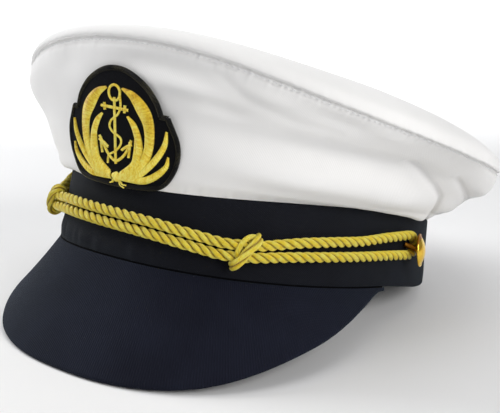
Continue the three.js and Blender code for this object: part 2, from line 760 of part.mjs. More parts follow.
const hat = new THREE.Group();
hat.add(
  piece('crown_top', makeCrownTop(), 'whiteCotton'),
  piece('crown_side', makeCrownSide(), 'whiteCotton'),
  piece('band', makeBand(), 'darkTwill'),
  piece('peak', makePeak(), 'darkTwill'),
  piece('cord_strap', makeStrap(), 'goldThread'),
  piece('knot_left', makeKnot(knotTurns.left), 'goldThread'),
  piece('knot_right', makeKnot(knotTurns.right), 'goldThread'),
  makeButtonPiece('button_left', strapTable[strapTable.length - 1], 1),
  makeButtonPiece('button_right', strapTable[0], -1),
  piece('badge_patch', makeBadgePatch(), 'blackFelt'),
  piece('wreath_left', makeWreath(1), 'goldThread'),
  piece('wreath_right', makeWreath(-1), 'goldThread'),
  piece('wreath_tie', makeWreathTie(), 'goldThread'),
  piece('anchor', makeAnchor(), 'goldThread'),
);

// Pitches the hat until the peak's edge and the band's back touch the same level
function lowestPoint(name, pitch) {
  const position = hat.getObjectByName(name).geometry.attributes.position;
  const sine = Math.sin(pitch);
  const cosine = Math.cos(pitch);
  let best = { level: Infinity };
  for (let i = 0; i < position.count; i += 1) {
    const level = cosine * position.getZ(i) - sine * position.getY(i);
    if (level < best.level) best = { level, y: position.getY(i), z: position.getZ(i) };
  }
  return best;
}

let pitch = 0;
for (let round = 0; round < 12; round += 1) {
  const edge = lowestPoint('peak', pitch);
  const back = lowestPoint('band', pitch);
  pitch = Math.atan2(back.z - edge.z, back.y - edge.y);
}
hat.rotation.x = -pitch;

const model = new THREE.Group();
model.add(hat);
model.updateMatrixWorld(true);
const bounds = new THREE.Box3().setFromObject(model, true);
hat.position.set(-(bounds.min.x + bounds.max.x) / 2, -(bounds.min.y + bounds.max.y) / 2, -bounds.min.z);

export default model;
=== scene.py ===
# Captain's hat: every cloth, cord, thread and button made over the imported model
import json
import math

import bmesh
import bpy
import numpy as np
from mathutils import Matrix, Vector

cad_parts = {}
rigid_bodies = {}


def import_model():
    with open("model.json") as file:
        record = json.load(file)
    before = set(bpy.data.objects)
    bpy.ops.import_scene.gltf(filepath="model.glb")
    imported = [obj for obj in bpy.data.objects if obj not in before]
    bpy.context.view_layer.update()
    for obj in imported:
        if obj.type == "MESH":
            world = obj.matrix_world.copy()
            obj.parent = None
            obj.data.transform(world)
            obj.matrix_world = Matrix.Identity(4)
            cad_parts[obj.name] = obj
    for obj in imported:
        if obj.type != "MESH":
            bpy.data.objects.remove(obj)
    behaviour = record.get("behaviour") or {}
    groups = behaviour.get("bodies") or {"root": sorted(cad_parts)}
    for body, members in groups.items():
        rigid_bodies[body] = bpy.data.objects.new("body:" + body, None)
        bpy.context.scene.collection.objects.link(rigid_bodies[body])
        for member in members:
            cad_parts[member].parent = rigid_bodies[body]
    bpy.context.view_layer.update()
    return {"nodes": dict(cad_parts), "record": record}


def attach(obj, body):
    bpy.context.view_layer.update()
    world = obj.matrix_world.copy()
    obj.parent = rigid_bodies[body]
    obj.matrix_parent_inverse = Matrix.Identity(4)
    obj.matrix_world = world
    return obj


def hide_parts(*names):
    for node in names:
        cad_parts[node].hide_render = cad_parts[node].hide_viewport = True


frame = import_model()
print("frame loaded:", len(frame["nodes"]), "nodes")

# The hat's own frame: millimetres, band's lower edge at z 0, front at -Y, wearer's left at +X
hat = {
    "bandHalfWidth": 85.8, "bandHalfLength": 103, "bandWall": 2.5,
    "bandFront": 33.1, "bandSide": 36.6, "bandRear": 25.2,
    "leanSide": 2.9, "leanEnd": 0.6, "ovalPower": 2.37, "ovalTaper": 0.04,
    "rimHalfWidth": 125, "rimHalfLength": 120, "rimSetBack": 4, "rimPower": 2.2, "rimTaper": -0.075,
    "rimFront": 99.6, "rimSide": 68.4, "rimRear": 84, "rimSkew": -2, "rimShoulder": 2.3,
    "crownWall": 1.8, "crownPuff": 8, "gap": 0.3,
    # degrees from the front's middle, how far the hem sags there
    "hemDip": [(91, 0), (96, 0.4), (102, 1.12), (108, 2), (116, 2.4), (130, 2.08), (150, 0.64), (165, 0)],
}
opening = next(m for m in frame["record"]["mounts"] if m["name"] == "head_opening")
hatOrigin = np.array(opening["pos_m"])
hatPitch = math.atan2(-opening["axis"][1], -opening["axis"][2])


def toRow(points):
    points = np.asarray(points, float)
    c, s = math.cos(hatPitch), math.sin(hatPitch)
    x, y, z = points[..., 0], points[..., 1], points[..., 2]
    return np.stack([x, c * y + s * z, c * z - s * y], -1) * 0.001 + hatOrigin


def turnToRow(directions):
    return toRow(directions) * 1000 - hatOrigin * 1000


def vec(x, y, z):
    return np.stack(np.broadcast_arrays(x, y, z), -1).astype(float)


def unit(v):
    return v / np.linalg.norm(v, axis=-1, keepdims=True)


# Smooth curves through rows of numbers; ys may hold one row of values for each column
def smoothRows(xs, ys, x):
    xs, ys, x = np.asarray(xs, float), np.atleast_2d(np.asarray(ys, float)), np.asarray(x, float)
    last = len(xs) - 1
    number = np.arange(last + 1)
    before, after = np.maximum(number - 1, 0), np.minimum(number + 1, last)
    slope = (ys[:, after] - ys[:, before]) / (xs[after] - xs[before])
    i = np.clip(np.searchsorted(xs, x, side="left") - 1, 0, last - 1)
    span = xs[i + 1] - xs[i]
    s = np.clip((x - xs[i]) / span, 0, 1)
    return ((2 * s**3 - 3 * s**2 + 1) * ys[:, i] + (s**3 - 2 * s**2 + s) * span * slope[:, i]
            + (3 * s**2 - 2 * s**3) * ys[:, i + 1] + (s**3 - s**2) * span * slope[:, i + 1])


def smoothValue(xs, ys, x):
    x = np.asarray(x, float)
    return smoothRows(xs, ys, x.ravel())[0].reshape(x.shape)


def degreesRound(turn):
    return (np.degrees(turn) + 180) % 360 - 180


def roundValue(table, column, turn):
    keys = [row[0] for row in table]
    keys = [keys[-1] - 360, *keys, keys[0] + 360, keys[1] + 360]
    values = [row[column] for row in table]
    return smoothValue(keys, [values[-1], *values, values[0], values[1]], degreesRound(turn))


def wholeTurn(columns):
    return np.linspace(0, 2 * np.pi, columns, endpoint=False)


# How far along a line each of its points lies
def runAlong(points, power=1.0):
    return np.concatenate([[0], np.cumsum(np.linalg.norm(np.diff(points, axis=0), axis=1) ** power)])


# Ovals, heights and faces round the hat
def oval(turn, halfWidth, halfLength, power, taper):
    c, s = np.cos(turn), np.sin(turn)
    return vec(halfWidth * np.sign(c) * np.abs(c) ** (2 / power) * (1 + taper * s),
               halfLength * np.sign(s) * np.abs(s) ** (2 / power), 0)


def heightRound(turn, front, side, rear):
    mean = (front + rear + 2 * side) / 4
    return mean + (rear - front) / 2 * np.sin(turn) + (side - mean) * np.cos(2 * turn)


def bandHeight(turn):
    return heightRound(turn, hat["bandFront"], hat["bandSide"], hat["bandRear"])


def bandFace(turn, share):
    low = oval(turn, hat["bandHalfWidth"], hat["bandHalfLength"], hat["ovalPower"], hat["ovalTaper"])
    high = oval(turn, hat["bandHalfWidth"] - hat["leanSide"], hat["bandHalfLength"] - hat["leanEnd"],
                hat["ovalPower"], hat["ovalTaper"])
    share = np.asarray(share, float)[..., None]
    point = low + (high - low) * share
    point[..., 2] = bandHeight(turn) * share[..., 0]
    return point


# The hem sags a little behind the peak's ends
def hemDip(turn, share):
    degrees = np.abs(degreesRound(turn + math.radians(90)))
    return np.interp(degrees, *zip(*hat["hemDip"])) * (1 - np.clip(share, 0, 1)) ** 2


def outwards(turn):
    along = bandFace(turn + 0.01, 0) - bandFace(turn - 0.01, 0)
    return unit(vec(along[..., 1], -along[..., 0], 0))


def onBand(turn, share, proud):
    return bandFace(turn, share) + outwards(turn) * np.asarray(proud, float)[..., None]


def rimPoint(turn, inset):
    point = oval(turn, hat["rimHalfWidth"] - inset, hat["rimHalfLength"] - inset,
                 hat["rimPower"], hat["rimTaper"])
    point[..., 1] += hat["rimSetBack"]
    point[..., 2] = (heightRound(turn, hat["rimFront"], hat["rimSide"], hat["rimRear"])
                     + hat["rimSkew"] * (np.sin(3 * turn) + np.sin(turn))
                     + hat["rimShoulder"] * (np.cos(4 * turn) - 1))
    return point


def sideLine(turn):
    low = bandFace(turn, 1)
    low[..., 2] += hat["gap"]
    high = rimPoint(turn, 0)
    high[..., 2] -= hat["gap"] / 2
    chord = unit(high - low)
    out = outwards(turn)
    out = unit(out - chord * (out * chord).sum(-1, keepdims=True))
    return low, high, chord, out


def arcMeasure(lineAt):
    turns = np.radians(np.arange(-270, 90.01, 0.25))
    lengths = runAlong(lineAt(turns))
    lengths -= np.interp(math.radians(-90), turns, lengths)
    return (lambda arc: np.interp(arc, lengths, turns)), (lambda turn: np.interp(turn, turns, lengths))


bandTurnAt, bandArcAt = arcMeasure(lambda turn: bandFace(turn, 0.5))
badgeTurnAt, _ = arcMeasure(lambda turn: (bandFace(turn, 1) + rimPoint(turn, 0)) / 2)


# Meshes from rings of points, each ring going round the hat or round a cord
def makeObject(name, points, faces, material, uvs=None):
    mesh = bpy.data.meshes.new(name)
    mesh.from_pydata([tuple(p) for p in points], [], faces)
    if uvs is not None:
        layer = mesh.uv_layers.new(name="clothUv")
        layer.data.foreach_set("uv", np.asarray(uvs, np.float32).ravel())
    mesh.polygons.foreach_set("use_smooth", [True] * len(mesh.polygons))
    mesh.materials.append(material)
    piece = bpy.data.objects.new(name, mesh)
    bpy.context.scene.collection.objects.link(piece)
    return piece


def fixNormals(piece):
    shape = bmesh.new()
    shape.from_mesh(piece.data)
    bmesh.ops.recalc_face_normals(shape, faces=shape.faces)
    shape.to_mesh(piece.data)
    shape.free()


# Turns every face round where they would make the shell inside out
def facedOutwards(points, faces, uvs):
    fans = np.array([(f[0], f[n], f[n + 1]) for f in faces for n in range(1, len(f) - 1)])
    a, b, c = points[fans].transpose(1, 0, 2)
    if (a * np.cross(b, c)).sum() >= 0:
        return faces, uvs
    starts = np.cumsum([0] + [len(f) for f in faces])
    return [f[::-1] for f in faces], [uv for s, f in zip(starts, faces) for uv in uvs[s:s + len(f)][::-1]]


def ringMesh(name, rings, material, poles=(), closedRows=True, uvStep=0):
    rings = np.asarray(rings, float)
    rows, columns = rings.shape[:2]
    number = np.arange(rows * columns).reshape(rows, columns)
    for pole in poles:
        number[pole] = number[pole, 0]
    middle = rings[uvStep]
    high = np.cumsum([0, *np.linalg.norm(np.roll(rings, -1, 0) - rings, axis=2).mean(1)])
    wide = np.cumsum([0, *np.linalg.norm(np.roll(middle, -1, 0) - middle, axis=1)])
    faces, uvs = [], []
    for j in range(rows if closedRows else rows - 1):
        for i in range(columns):
            corners = {}
            for a, b in ((j, i), (j, i + 1), (j + 1, i + 1), (j + 1, i)):
                corners.setdefault(int(number[a % rows, b % columns]), (wide[b], high[a]))
            if len(corners) > 2:
                faces.append(list(corners))
                uvs.extend(corners.values())
    used = np.unique([v for f in faces for v in f])
    place = np.full(rows * columns, -1)
    place[used] = np.arange(len(used))
    points = rings.reshape(-1, 3)[used]
    faces, uvs = facedOutwards(points, [[int(place[v]) for v in f] for f in faces], uvs)
    return makeObject(name, points, faces, material, uvs)


# Adds a node; an input takes a number, a colour, a name or another node's socket
def put(tree, kind, inputs=None, **settings):
    node = tree.nodes.new(kind)
    for key, value in settings.items():
        setattr(node, key, value)
    for key, value in (inputs or {}).items():
        if isinstance(value, bpy.types.NodeSocket):
            tree.links.new(value, node.inputs[key])
        elif value is not None:
            node.inputs[key].default_value = value
    return node


def mathNode(tree, operation, a, b=None):
    return put(tree, "ShaderNodeMath", {0: a, 1: b}, operation=operation).outputs[0]


def plus(tree, a, b):
    return mathNode(tree, "ADD", a, b)


def times(tree, a, b):
    return mathNode(tree, "MULTIPLY", a, b)


def vectorNode(tree, operation, a, b=None, scale=None):
    node = put(tree, "ShaderNodeVectorMath", {0: a, 1: b, "Scale": scale}, operation=operation)
    return node.outputs["Value" if operation in ("DOT_PRODUCT", "LENGTH") else "Vector"]


def newMaterial(name, sockets):
    material = bpy.data.materials.new(name)
    material.use_nodes = True
    shader = material.node_tree.nodes["Principled BSDF"]
    for socket, value in sockets.items():
        shader.inputs[socket].default_value = value
    return material, material.node_tree, shader


def waveLines(tree, coordinates, spacing, angle):
    turned = (2 * math.pi * math.cos(angle) / spacing, 2 * math.pi * math.sin(angle) / spacing, 0)
    return mathNode(tree, "SINE", vectorNode(tree, "DOT_PRODUCT", coordinates, turned))


def objectPlace(tree):
    return put(tree, "ShaderNodeTexCoord").outputs["Object"]


def clothUv(tree):
    return put(tree, "ShaderNodeUVMap", uv_map="clothUv").outputs["UV"]


def attribute(tree, name):
    return put(tree, "ShaderNodeAttribute", attribute_name=name).outputs["Fac"]


def noise(tree, coordinates, scale, detail=3, roughness=0.5):
    return put(tree, "ShaderNodeTexNoise", {"Vector": coordinates, "Scale": scale, "Detail": detail,
                                            "Roughness": roughness}).outputs["Fac"]


def colourRamp(tree, factor, stops):
    node = put(tree, "ShaderNodeValToRGB", {"Fac": factor})
    ramp = node.color_ramp
    for element, (position, colour) in zip(ramp.elements, (stops[0], stops[-1])):
        element.position, element.color = position, (*colour, 1)
    for position, colour in stops[1:-1]:
        ramp.elements.new(position).color = (*colour, 1)
    return node.outputs["Color"]


# Gives the shader its colour, and a height in metres as bump
def dressShader(tree, shader, colour, height=None, distance=0.0):
    tree.links.new(colour, shader.inputs["Base Color"])
    if height is not None:
        bump = put(tree, "ShaderNodeBump", {"Strength": 1, "Distance": distance, "Height": height})
        tree.links.new(bump.outputs["Normal"], shader.inputs["Normal"])


# A finish whose colour and bump follow one fine grain
def grainMaterial(name, sockets, grain, stops, bump=0.0):
    material, tree, shader = newMaterial(name, sockets)
    height = noise(tree, objectPlace(tree), *grain)
    dressShader(tree, shader, colourRamp(tree, height, stops), height if bump else None, bump)
    return material


# Cloths: a woven face with faint cloudiness
def clothMaterial(name, look):
    material, tree, shader = newMaterial(name, {
        "Roughness": look["roughness"], "Sheen Weight": look["sheen"],
        "Sheen Roughness": look["sheenRoughness"], "Sheen Tint": (*look["sheenTint"], 1),
        "Specular IOR Level": look["specular"]})
    uv, place = clothUv(tree), objectPlace(tree)
    rib = waveLines(tree, uv, look["ribSpacing"], look["ribAngle"])
    cross = waveLines(tree, uv, look["crossSpacing"], look["crossAngle"])
    weave = plus(tree, times(tree, rib, look["ribDepth"]), times(tree, cross, look["crossDepth"]))
    fuzz = noise(tree, place, look["fuzzScale"], 4, 0.6)
    height = plus(tree, weave, times(tree, fuzz, look["fuzzDepth"]))
    cloud = noise(tree, place, look["cloudScale"], 3)
    shade = plus(tree, cloud, times(tree, weave, look["weaveShade"]))
    colour = colourRamp(tree, shade, [(0.3, look["dark"]), (0.7, look["light"])])
    dressShader(tree, shader, colour, height, look["bump"])
    return material


cottonLook = {
    "dark": (0.80, 0.793, 0.785), "light": (0.875, 0.868, 0.86), "roughness": 0.82, "specular": 0.25,
    "sheen": 0.25, "sheenRoughness": 0.5, "sheenTint": (1, 1, 1),
    "ribSpacing": 0.0007, "ribAngle": 0.95, "ribDepth": 0.5,
    "crossSpacing": 0.00042, "crossAngle": 0.0, "crossDepth": 0.25,
    "fuzzScale": 900, "fuzzDepth": 0.5, "cloudScale": 14, "bump": 0.00002, "weaveShade": 0.008,
}
bandLook = {
    "dark": (0.0035, 0.0038, 0.0062), "light": (0.0062, 0.0070, 0.0112), "roughness": 0.84, "specular": 0.14,
    "sheen": 0.04, "sheenRoughness": 0.45, "sheenTint": (0.55, 0.8, 1),
    "ribSpacing": 0.0007, "ribAngle": 0.9, "ribDepth": 0.6,
    "crossSpacing": 0.0004, "crossAngle": 0.0, "crossDepth": 0.25,
    "fuzzScale": 1000, "fuzzDepth": 0.6, "cloudScale": 30, "bump": 0.00011, "weaveShade": 0.05,
}
peakLook = {
    **bandLook, "dark": (0.0060, 0.0066, 0.0132), "light": (0.0098, 0.0112, 0.0215), "sheen": 0.06,
    "specular": 0.1, "roughness": 0.88, "bump": 0.00008,
    "ribSpacing": 0.0011, "ribAngle": 0.0, "ribDepth": 0.8, "crossSpacing": 0.0005, "crossAngle": 1.57,
    "weaveShade": 0.12,
}
whiteCotton = clothMaterial("whiteCotton", cottonLook)
bandTwill = clothMaterial("bandTwill", bandLook)
peakTwill = clothMaterial("peakTwill", peakLook)
print("cloth materials made")

# Crown: the side cloth's swell (degrees round; low, waist, high) and its soft folds
crown = {
    "swell": [(-180, 0.5, 0.35, 0.55), (-138, 0.66, 0.54, 0.68), (-112, 0.16, 0.16, 0.2),
              (-90, 0.16, 0.16, 0.16), (-66, 0.22, 0, -0.05), (-40, 0.28, -0.25, -0.18),
              (-5, 0.42, -0.2, -0.2), (12, 0.5, 0.22, 0.2),
              (25, 0.2, 0.42, 0.6), (45, 0.25, 0.5, 0.7), (65, 0.5, 0.5, 0.8),
              (90, 0.5, 0.4, 0.6), (135, 0.5, 0.35, 0.5)],
    "shares": [0, 0.12, 0.5, 0.83, 1],
    # turn, share, turn span, share span, height
    "folds": [(-45, 0.27, 18, 0.12, 0.42), (-24, 0.29, 18, 0.15, 0.36), (-6, 0.27, 10, 0.15, 0.36),
              (-62, 0.5, 12, 0.1, -0.2), (-42, 0.5, 15, 0.12, -0.32), (-20, 0.54, 14, 0.12, -0.28),
              (-6, 0.58, 8, 0.1, -0.1),
              (-80, 0.86, 9, 0.06, -0.42), (-73, 0.74, 7, 0.05, 0.3), (-64, 0.66, 6, 0.05, -0.2),
              (-56, 0.84, 7, 0.06, 0.25), (-40, 0.84, 7, 0.06, -0.15), (-26, 0.86, 7, 0.06, 0.12),
              (-104, 0.86, 5, 0.12, -0.25), (24, 0.3, 8, 0.12, 0.2), (26, 0.72, 12, 0.1, 0.15),
              (36, 0.06, 16, 0.09, -0.4),
              (46, 0.45, 8, 0.24, 0.35), (62, 0.6, 6, 0.24, -0.5),
              (118, 0.5, 9, 0.26, -0.4), (150, 0.45, 8, 0.24, -0.45), (-160, 0.55, 12, 0.22, -0.3)],
    # sharp creases: width, depth in mm, then the turns and shares they run through
    "creases": [(1.5, -2.4, [(-16, 0.66), (-8, 0.59), (2, 0.46), (7.5, 0.39), (10.5, 0.28), (14, 0.14),
                             (18, 0.02)]),
                (2.0, -1.4, [(2, 0.68), (10, 0.61), (19, 0.55), (28, 0.5), (36, 0.47)]),
                (1.6, -0.6, [(-70, 0.92), (-60, 0.78), (-48, 0.72), (-36, 0.74)])],
    # how a crease fades at its ends, in mm; its depth as shares, each so many widths wide
    "creaseEnd": 9, "creaseShape": [(0.65, 1), (0.35, 3)],
    "perDegree": 2.1, "sideHigh": 50,        # the side laid flat, in mm
    "dome": 21, "domePower": 2, "roll": 2.6,
    "columns": 1080, "sideRows": 60, "innerRows": 14, "topRows": 36, "sideCrowd": 0.75, "topCrowd": 1.7,
    # the puckers' height, their waves round the rim and the band, and how far they reach as shares
    "pucker": 0.3, "puckerWaves": 170, "bandWaves": 90, "rimReach": 0.07, "bandReach": 0.06,
    # in mm: the furrow below the rim, the seam's ridge, the dip beside it and the edge that curls under
    "furrow": 1.35, "furrowShare": 0.034, "seamRoll": 0.6, "swayReach": 1.6, "ridge": 0.9,
    "dip": 0.45, "dipAt": 2.6, "dipSpan": 1.3, "curl": 1.15, "curlTurns": [150, 125, 100, 75, 50, 25],
    # the side's lowest roll: its height as a share; degrees round, how far it hangs over the band
    "overhangShare": 0.16,
    "overhang": [(-180, 1), (-150, 1.6), (-136, 2.8), (-124, 3.2), (-113, 2), (-103, 0.3), (-90, 0),
                 (-50, 0), (-10, 0.3), (4, 1.2), (12, 2.4), (20, 1.4), (30, 0), (50, 0), (90, 0.5),
                 (140, 0.6)],
}


def foldHeight(turn, share):
    height = 0 * (turn + share)
    for at, atShare, turnSpan, shareSpan, amount in crown["folds"]:
        away = np.arctan2(np.sin(turn - math.radians(at)), np.cos(turn - math.radians(at)))
        across = away / math.radians(turnSpan)
        along = (share - atShare) / shareSpan
        height = height + amount * np.exp(-across**2 - along**2)
    return height * np.sin(np.pi * np.clip(share, 0, 1)) ** 0.5


# How deep the creases are at each point, by its distance in mm from their lines on the side laid flat
def creaseDepth(turn, share):
    flat = [crown["perDegree"], crown["sideHigh"]]
    place = np.stack(np.broadcast_arrays(degreesRound(turn), share), -1) * flat
    depth = 0 * (turn + share)
    for width, deep, line in crown["creases"]:
        line = np.array(line) * flat
        nearest = np.inf
        for start, step in zip(line, np.diff(line, axis=0)):
            along = np.clip((place - start) @ step / (step @ step), 0, 1)
            nearest = np.minimum(nearest, np.linalg.norm(place - start - along[..., None] * step, axis=-1))
        ends = np.minimum(*(np.linalg.norm(place - line[n], axis=-1) for n in (0, -1)))
        fade = np.clip(ends / crown["creaseEnd"], 0, 1) ** 0.7
        for part, wider in crown["creaseShape"]:
            depth = depth + deep * fade * part * np.exp(-((nearest / width / wider) ** 2))
    return depth


def sideFace(turn, share):
    low, high, chord, out = sideLine(turn)
    swell = [roundValue(crown["swell"], column, turn) for column in (1, 2, 3)]
    stations = np.stack([0 * turn, *swell, 0 * turn], -1)
    puff = smoothRows(crown["shares"], stations, share).T          # rows, columns
    puff = puff + foldHeight(turn[None, :], share[:, None])
    point = low[None] + (high - low)[None] * share[:, None, None]
    crease = creaseDepth(turn[None, :], share[:, None])
    point = point + out[None] * (hat["crownPuff"] * puff + crease)[..., None]
    low = np.sin(np.pi * np.clip(share / crown["overhangShare"], 0, 1))[:, None]
    point[..., 2] -= roundValue(crown["overhang"], 1, turn)[None] * low
    return point


def surfaceNormals(rings):
    ahead = np.roll(rings, -1, 1) - np.roll(rings, 1, 1)
    return unit(np.cross(ahead, np.gradient(rings, axis=0)))


# Small gathers that sewing leaves in cloth: uneven waves round the hat
def gathers(turn, waves, seed):
    rng = np.random.default_rng(seed)
    value = 0 * turn
    for step in (0.62, 1, 1.57):
        value = value + np.sin(round(waves * step) * turn + rng.uniform(0, 6.28)) / step
    return value / 2


def makeCrownSide():
    turn = wholeTurn(crown["columns"])
    even = np.linspace(0, 1, crown["sideRows"])
    share = even + crown["sideCrowd"] * (even * even * (3 - 2 * even) - even)
    outer = sideFace(turn, share)
    normal = surfaceNormals(outer)
    nearRim = np.exp(-((1 - share) / crown["rimReach"]) ** 2) * np.clip((1 - share) / 0.012, 0, 1)
    nearBand = np.exp(-(share / crown["bandReach"]) ** 2) * np.clip(share / 0.01, 0, 1)
    ripple = crown["pucker"] * (nearRim[:, None] * gathers(turn, crown["puckerWaves"], 3)
                                + nearBand[:, None] * gathers(turn, crown["bandWaves"], 5) / 2)
    furrow = crown["furrow"] / (1 + (np.clip(1 - share - 0.015, 0, 1) / crown["furrowShare"]) ** 4)
    outer = outer + normal * (ripple - furrow[:, None])[..., None]
    innerShare = np.linspace(1, 0, crown["innerRows"])
    inner = sideFace(turn, innerShare)
    level = np.clip(np.minimum(innerShare, 1 - innerShare) / 0.1, 0, 1)[:, None, None]
    inward = unit(surfaceNormals(inner[::-1])[::-1] * level + outwards(turn)[None] * (1 - level))
    inner = inner - inward * hat["crownWall"]
    return ringMesh("crownSideCloth", toRow(np.concatenate([outer, inner])), whiteCotton, uvStep=30)


def topFace(turn, radius, inset):
    rise = np.clip(1 - radius ** crown["domePower"], 0, 1) ** (1 / crown["domePower"])
    middle = (hat["rimFront"] + hat["rimRear"] + 2 * hat["rimSide"]) / 4
    rim = rimPoint(turn, inset)[None]
    tilt = ((hat["rimRear"] - hat["rimFront"]) / 2 * np.sin(turn))[None]
    wave = rim[..., 2] - middle - tilt
    centre = np.array([0, hat["rimSetBack"], 0.0])
    radius, rise = radius[:, None], rise[:, None]
    point = centre + (rim - centre) * radius[..., None]
    point[..., 2] = middle + tilt * radius + wave * radius**2 + (crown["dome"] - inset) * rise + hat["gap"] / 2
    return point + outwards(turn)[None] * (crown["roll"] * 4 * rise * (1 - rise) * radius)[..., None]


def makeCrownTop():
    turn = wholeTurn(crown["columns"])
    radius = 1 - np.linspace(0, 1, crown["topRows"]) ** crown["topCrowd"]
    outer = topFace(turn, radius, 0)
    # the rim's seam stands up as a thin ridge and curls under
    away = np.linalg.norm(outer - outer[0][None], axis=2)
    roll = crown["seamRoll"] * (np.exp(-((away / crown["ridge"]) ** 2))
                                - crown["dip"] * np.exp(-((away - crown["dipAt"]) / crown["dipSpan"]) ** 2))
    sway = 0.35 * np.sin(19 * turn + 1) * np.sin(7 * turn) + 0.5 * gathers(turn, crown["puckerWaves"], 9)
    roll = roll + sway[None] * np.exp(-((away / crown["swayReach"]) ** 2)) * crown["pucker"]
    outer = outer + unit(outwards(turn) + [0, 0, 0.9])[None] * roll[..., None]
    inner = topFace(turn, radius[::-1], hat["crownWall"])
    bend = np.radians(crown["curlTurns"])[:, None, None]
    curl = outer[:1] + crown["curl"] * (outwards(turn)[None] * (np.cos(bend) - 1) - [0, 0, 1] * np.sin(bend))
    pole = len(curl) + len(outer) - 1
    return ringMesh("crownTopCloth", toRow(np.concatenate([curl, outer, inner])), whiteCotton, uvStep=1,
                    poles=(pole, pole + 1))


crownSideCloth = makeCrownSide()
crownTopCloth = makeCrownTop()
print("crown made")

# Band: one strip of twill, its lower edge turned under and a little gathered in front
band = {"columns": 480, "rows": 20, "edge": 0.5, "edgeShares": [0, 0.004, 0.014],
        "gather": 0.28, "gatherWaves": 60, "gatherAt": -99, "gatherSpan": 34, "gatherElsewhere": 0.25,
        # the middle and reach of the gathers and of the hem's roll, as shares of the height
        "gatherHigh": (0.13, 0.11), "hemHigh": (0.16, 0.1), "hemRoll": 0.7,
        "innerShares": [1, 0.75, 0.5, 0.25, 0]}


def makeBand():
    turn = wholeTurn(band["columns"])
    edge = np.array(band["edgeShares"])
    share = np.concatenate([edge, np.linspace(0.03, 0.97, band["rows"]), 1 - edge[::-1]])
    soft = band["edge"] * (1 - np.clip(np.minimum(share, 1 - share) / edge[-1], 0, 1)) ** 2
    away = (degreesRound(turn) - band["gatherAt"]) / band["gatherSpan"]
    here = np.exp(-away**2) + band["gatherElsewhere"]
    wave = gathers(turn, band["gatherWaves"], 7) * here * band["gather"]
    rings = []
    for s, inset in zip(share, soft):
        level, swell = (math.exp(-((s - at) / reach) ** 2)
                        for at, reach in (band["gatherHigh"], band["hemHigh"]))
        rings.append(onBand(turn, s, wave * level + band["hemRoll"] * swell * here - inset))
    inner = band["innerShares"]
    rings += [onBand(turn, s, -hat["bandWall"]) for s in inner]
    rings = np.array(rings)
    rings[..., 2] -= hemDip(turn[None, :], np.array([*share, *inner])[:, None])
    return ringMesh("bandCloth", toRow(rings), bandTwill, uvStep=10)


bandCloth = makeBand()
print("band made")

# Peak: a stiff board covered with ribbed twill, its edge folded round
peak = {
    "reach": 55.4, "wall": 2.4, "span": 90.7, "fan": 1.22, "flare": 3.5, "tip": 1.2,
    # across, reach, slope
    "table": [(0, 1, 65.5), (0.35, 0.912, 61.6), (0.65, 0.552, 50.2), (0.87, 0.21, 44), (1, 0, 41.4)],
    "columns": 260, "rows": 46, "crowdEnds": 1.15, "crowdEdge": 1.25, "edgeRound": 1.2,
}


def peakFace(across, share):
    turn = math.radians(-90) + across * math.radians(peak["span"])
    point = bandFace(turn, 0)
    point[..., 2] -= hat["gap"]
    normal = outwards(turn)
    angle = np.arctan2(normal[..., 0], -normal[..., 1]) * peak["fan"]
    first = peak["table"][1]
    rows = [(-first[0], first[1], first[2]), *peak["table"]]
    at = np.abs(across)
    reach = np.hypot(peak["reach"] * smoothValue([r[0] for r in rows], [r[1] for r in rows], at), peak["tip"])
    slope = np.radians(smoothValue([r[0] for r in rows], [r[2] for r in rows], at))
    middle = slope + math.radians(peak["flare"]) / 2 * (1 - share)
    out = reach * share * np.cos(middle)
    return point + vec(np.sin(angle) * out, -np.cos(angle) * out, -reach * share * np.sin(middle))


def makePeak():
    even = np.linspace(-1, 1, peak["columns"])
    across = np.sign(even) * (1 - (1 - np.abs(even)) ** peak["crowdEnds"])
    share = 1 - np.linspace(1, 0, peak["rows"]) ** peak["crowdEdge"]
    top = np.array([peakFace(across, s) for s in share])
    normal = unit(np.cross(np.gradient(top, axis=1), np.gradient(top, axis=0)))
    normal *= np.sign(normal[..., 2:3].mean())
    away = np.linalg.norm(top - top[-1][None], axis=2)
    edgeIn = np.clip(1 - away / peak["edgeRound"], 0, 1)
    drop = normal * (peak["wall"] / 2 * (1 - np.sqrt(np.clip(1 - edgeIn**2, 0, 1))))[..., None]
    rings = np.concatenate([top - drop, (top - normal * peak["wall"] + drop)[::-1]])
    rows, columns = rings.shape[:2]
    number = np.arange(rows * columns).reshape(rows, columns)
    wide = runAlong((top - drop)[peak["rows"] // 2]) * 0.001
    high = np.concatenate([[0], np.cumsum(np.linalg.norm(np.diff(rings, axis=0), axis=2).max(1))])
    high = np.append(high, high[-1] + peak["wall"]) * 0.001
    faces, uvs = [], []
    for j in range(rows):
        for i in range(columns - 1):
            corners = [(j, i), (j + 1, i), (j + 1, i + 1), (j, i + 1)]
            faces.append([int(number[a % rows, b]) for a, b in corners])
            uvs += [(wide[b], high[a]) for a, b in corners]
    for i, way in ((0, 1), (columns - 1, -1)):
        for j in range(rows // 2 - 1):
            corners = [(j, i), (rows - 1 - j, i), (rows - 2 - j, i), (j + 1, i)]
            faces.append([int(number[corner]) for corner in corners][::way])
            uvs += [(0, 0), (0.002, 0), (0.002, 0.001), (0, 0.001)]
    points = toRow(rings.reshape(-1, 3))
    faces, uvs = facedOutwards(points, faces, uvs)
    return makeObject("peakCloth", points, faces, peakTwill, uvs)


peakCloth = makePeak()
print("peak made")

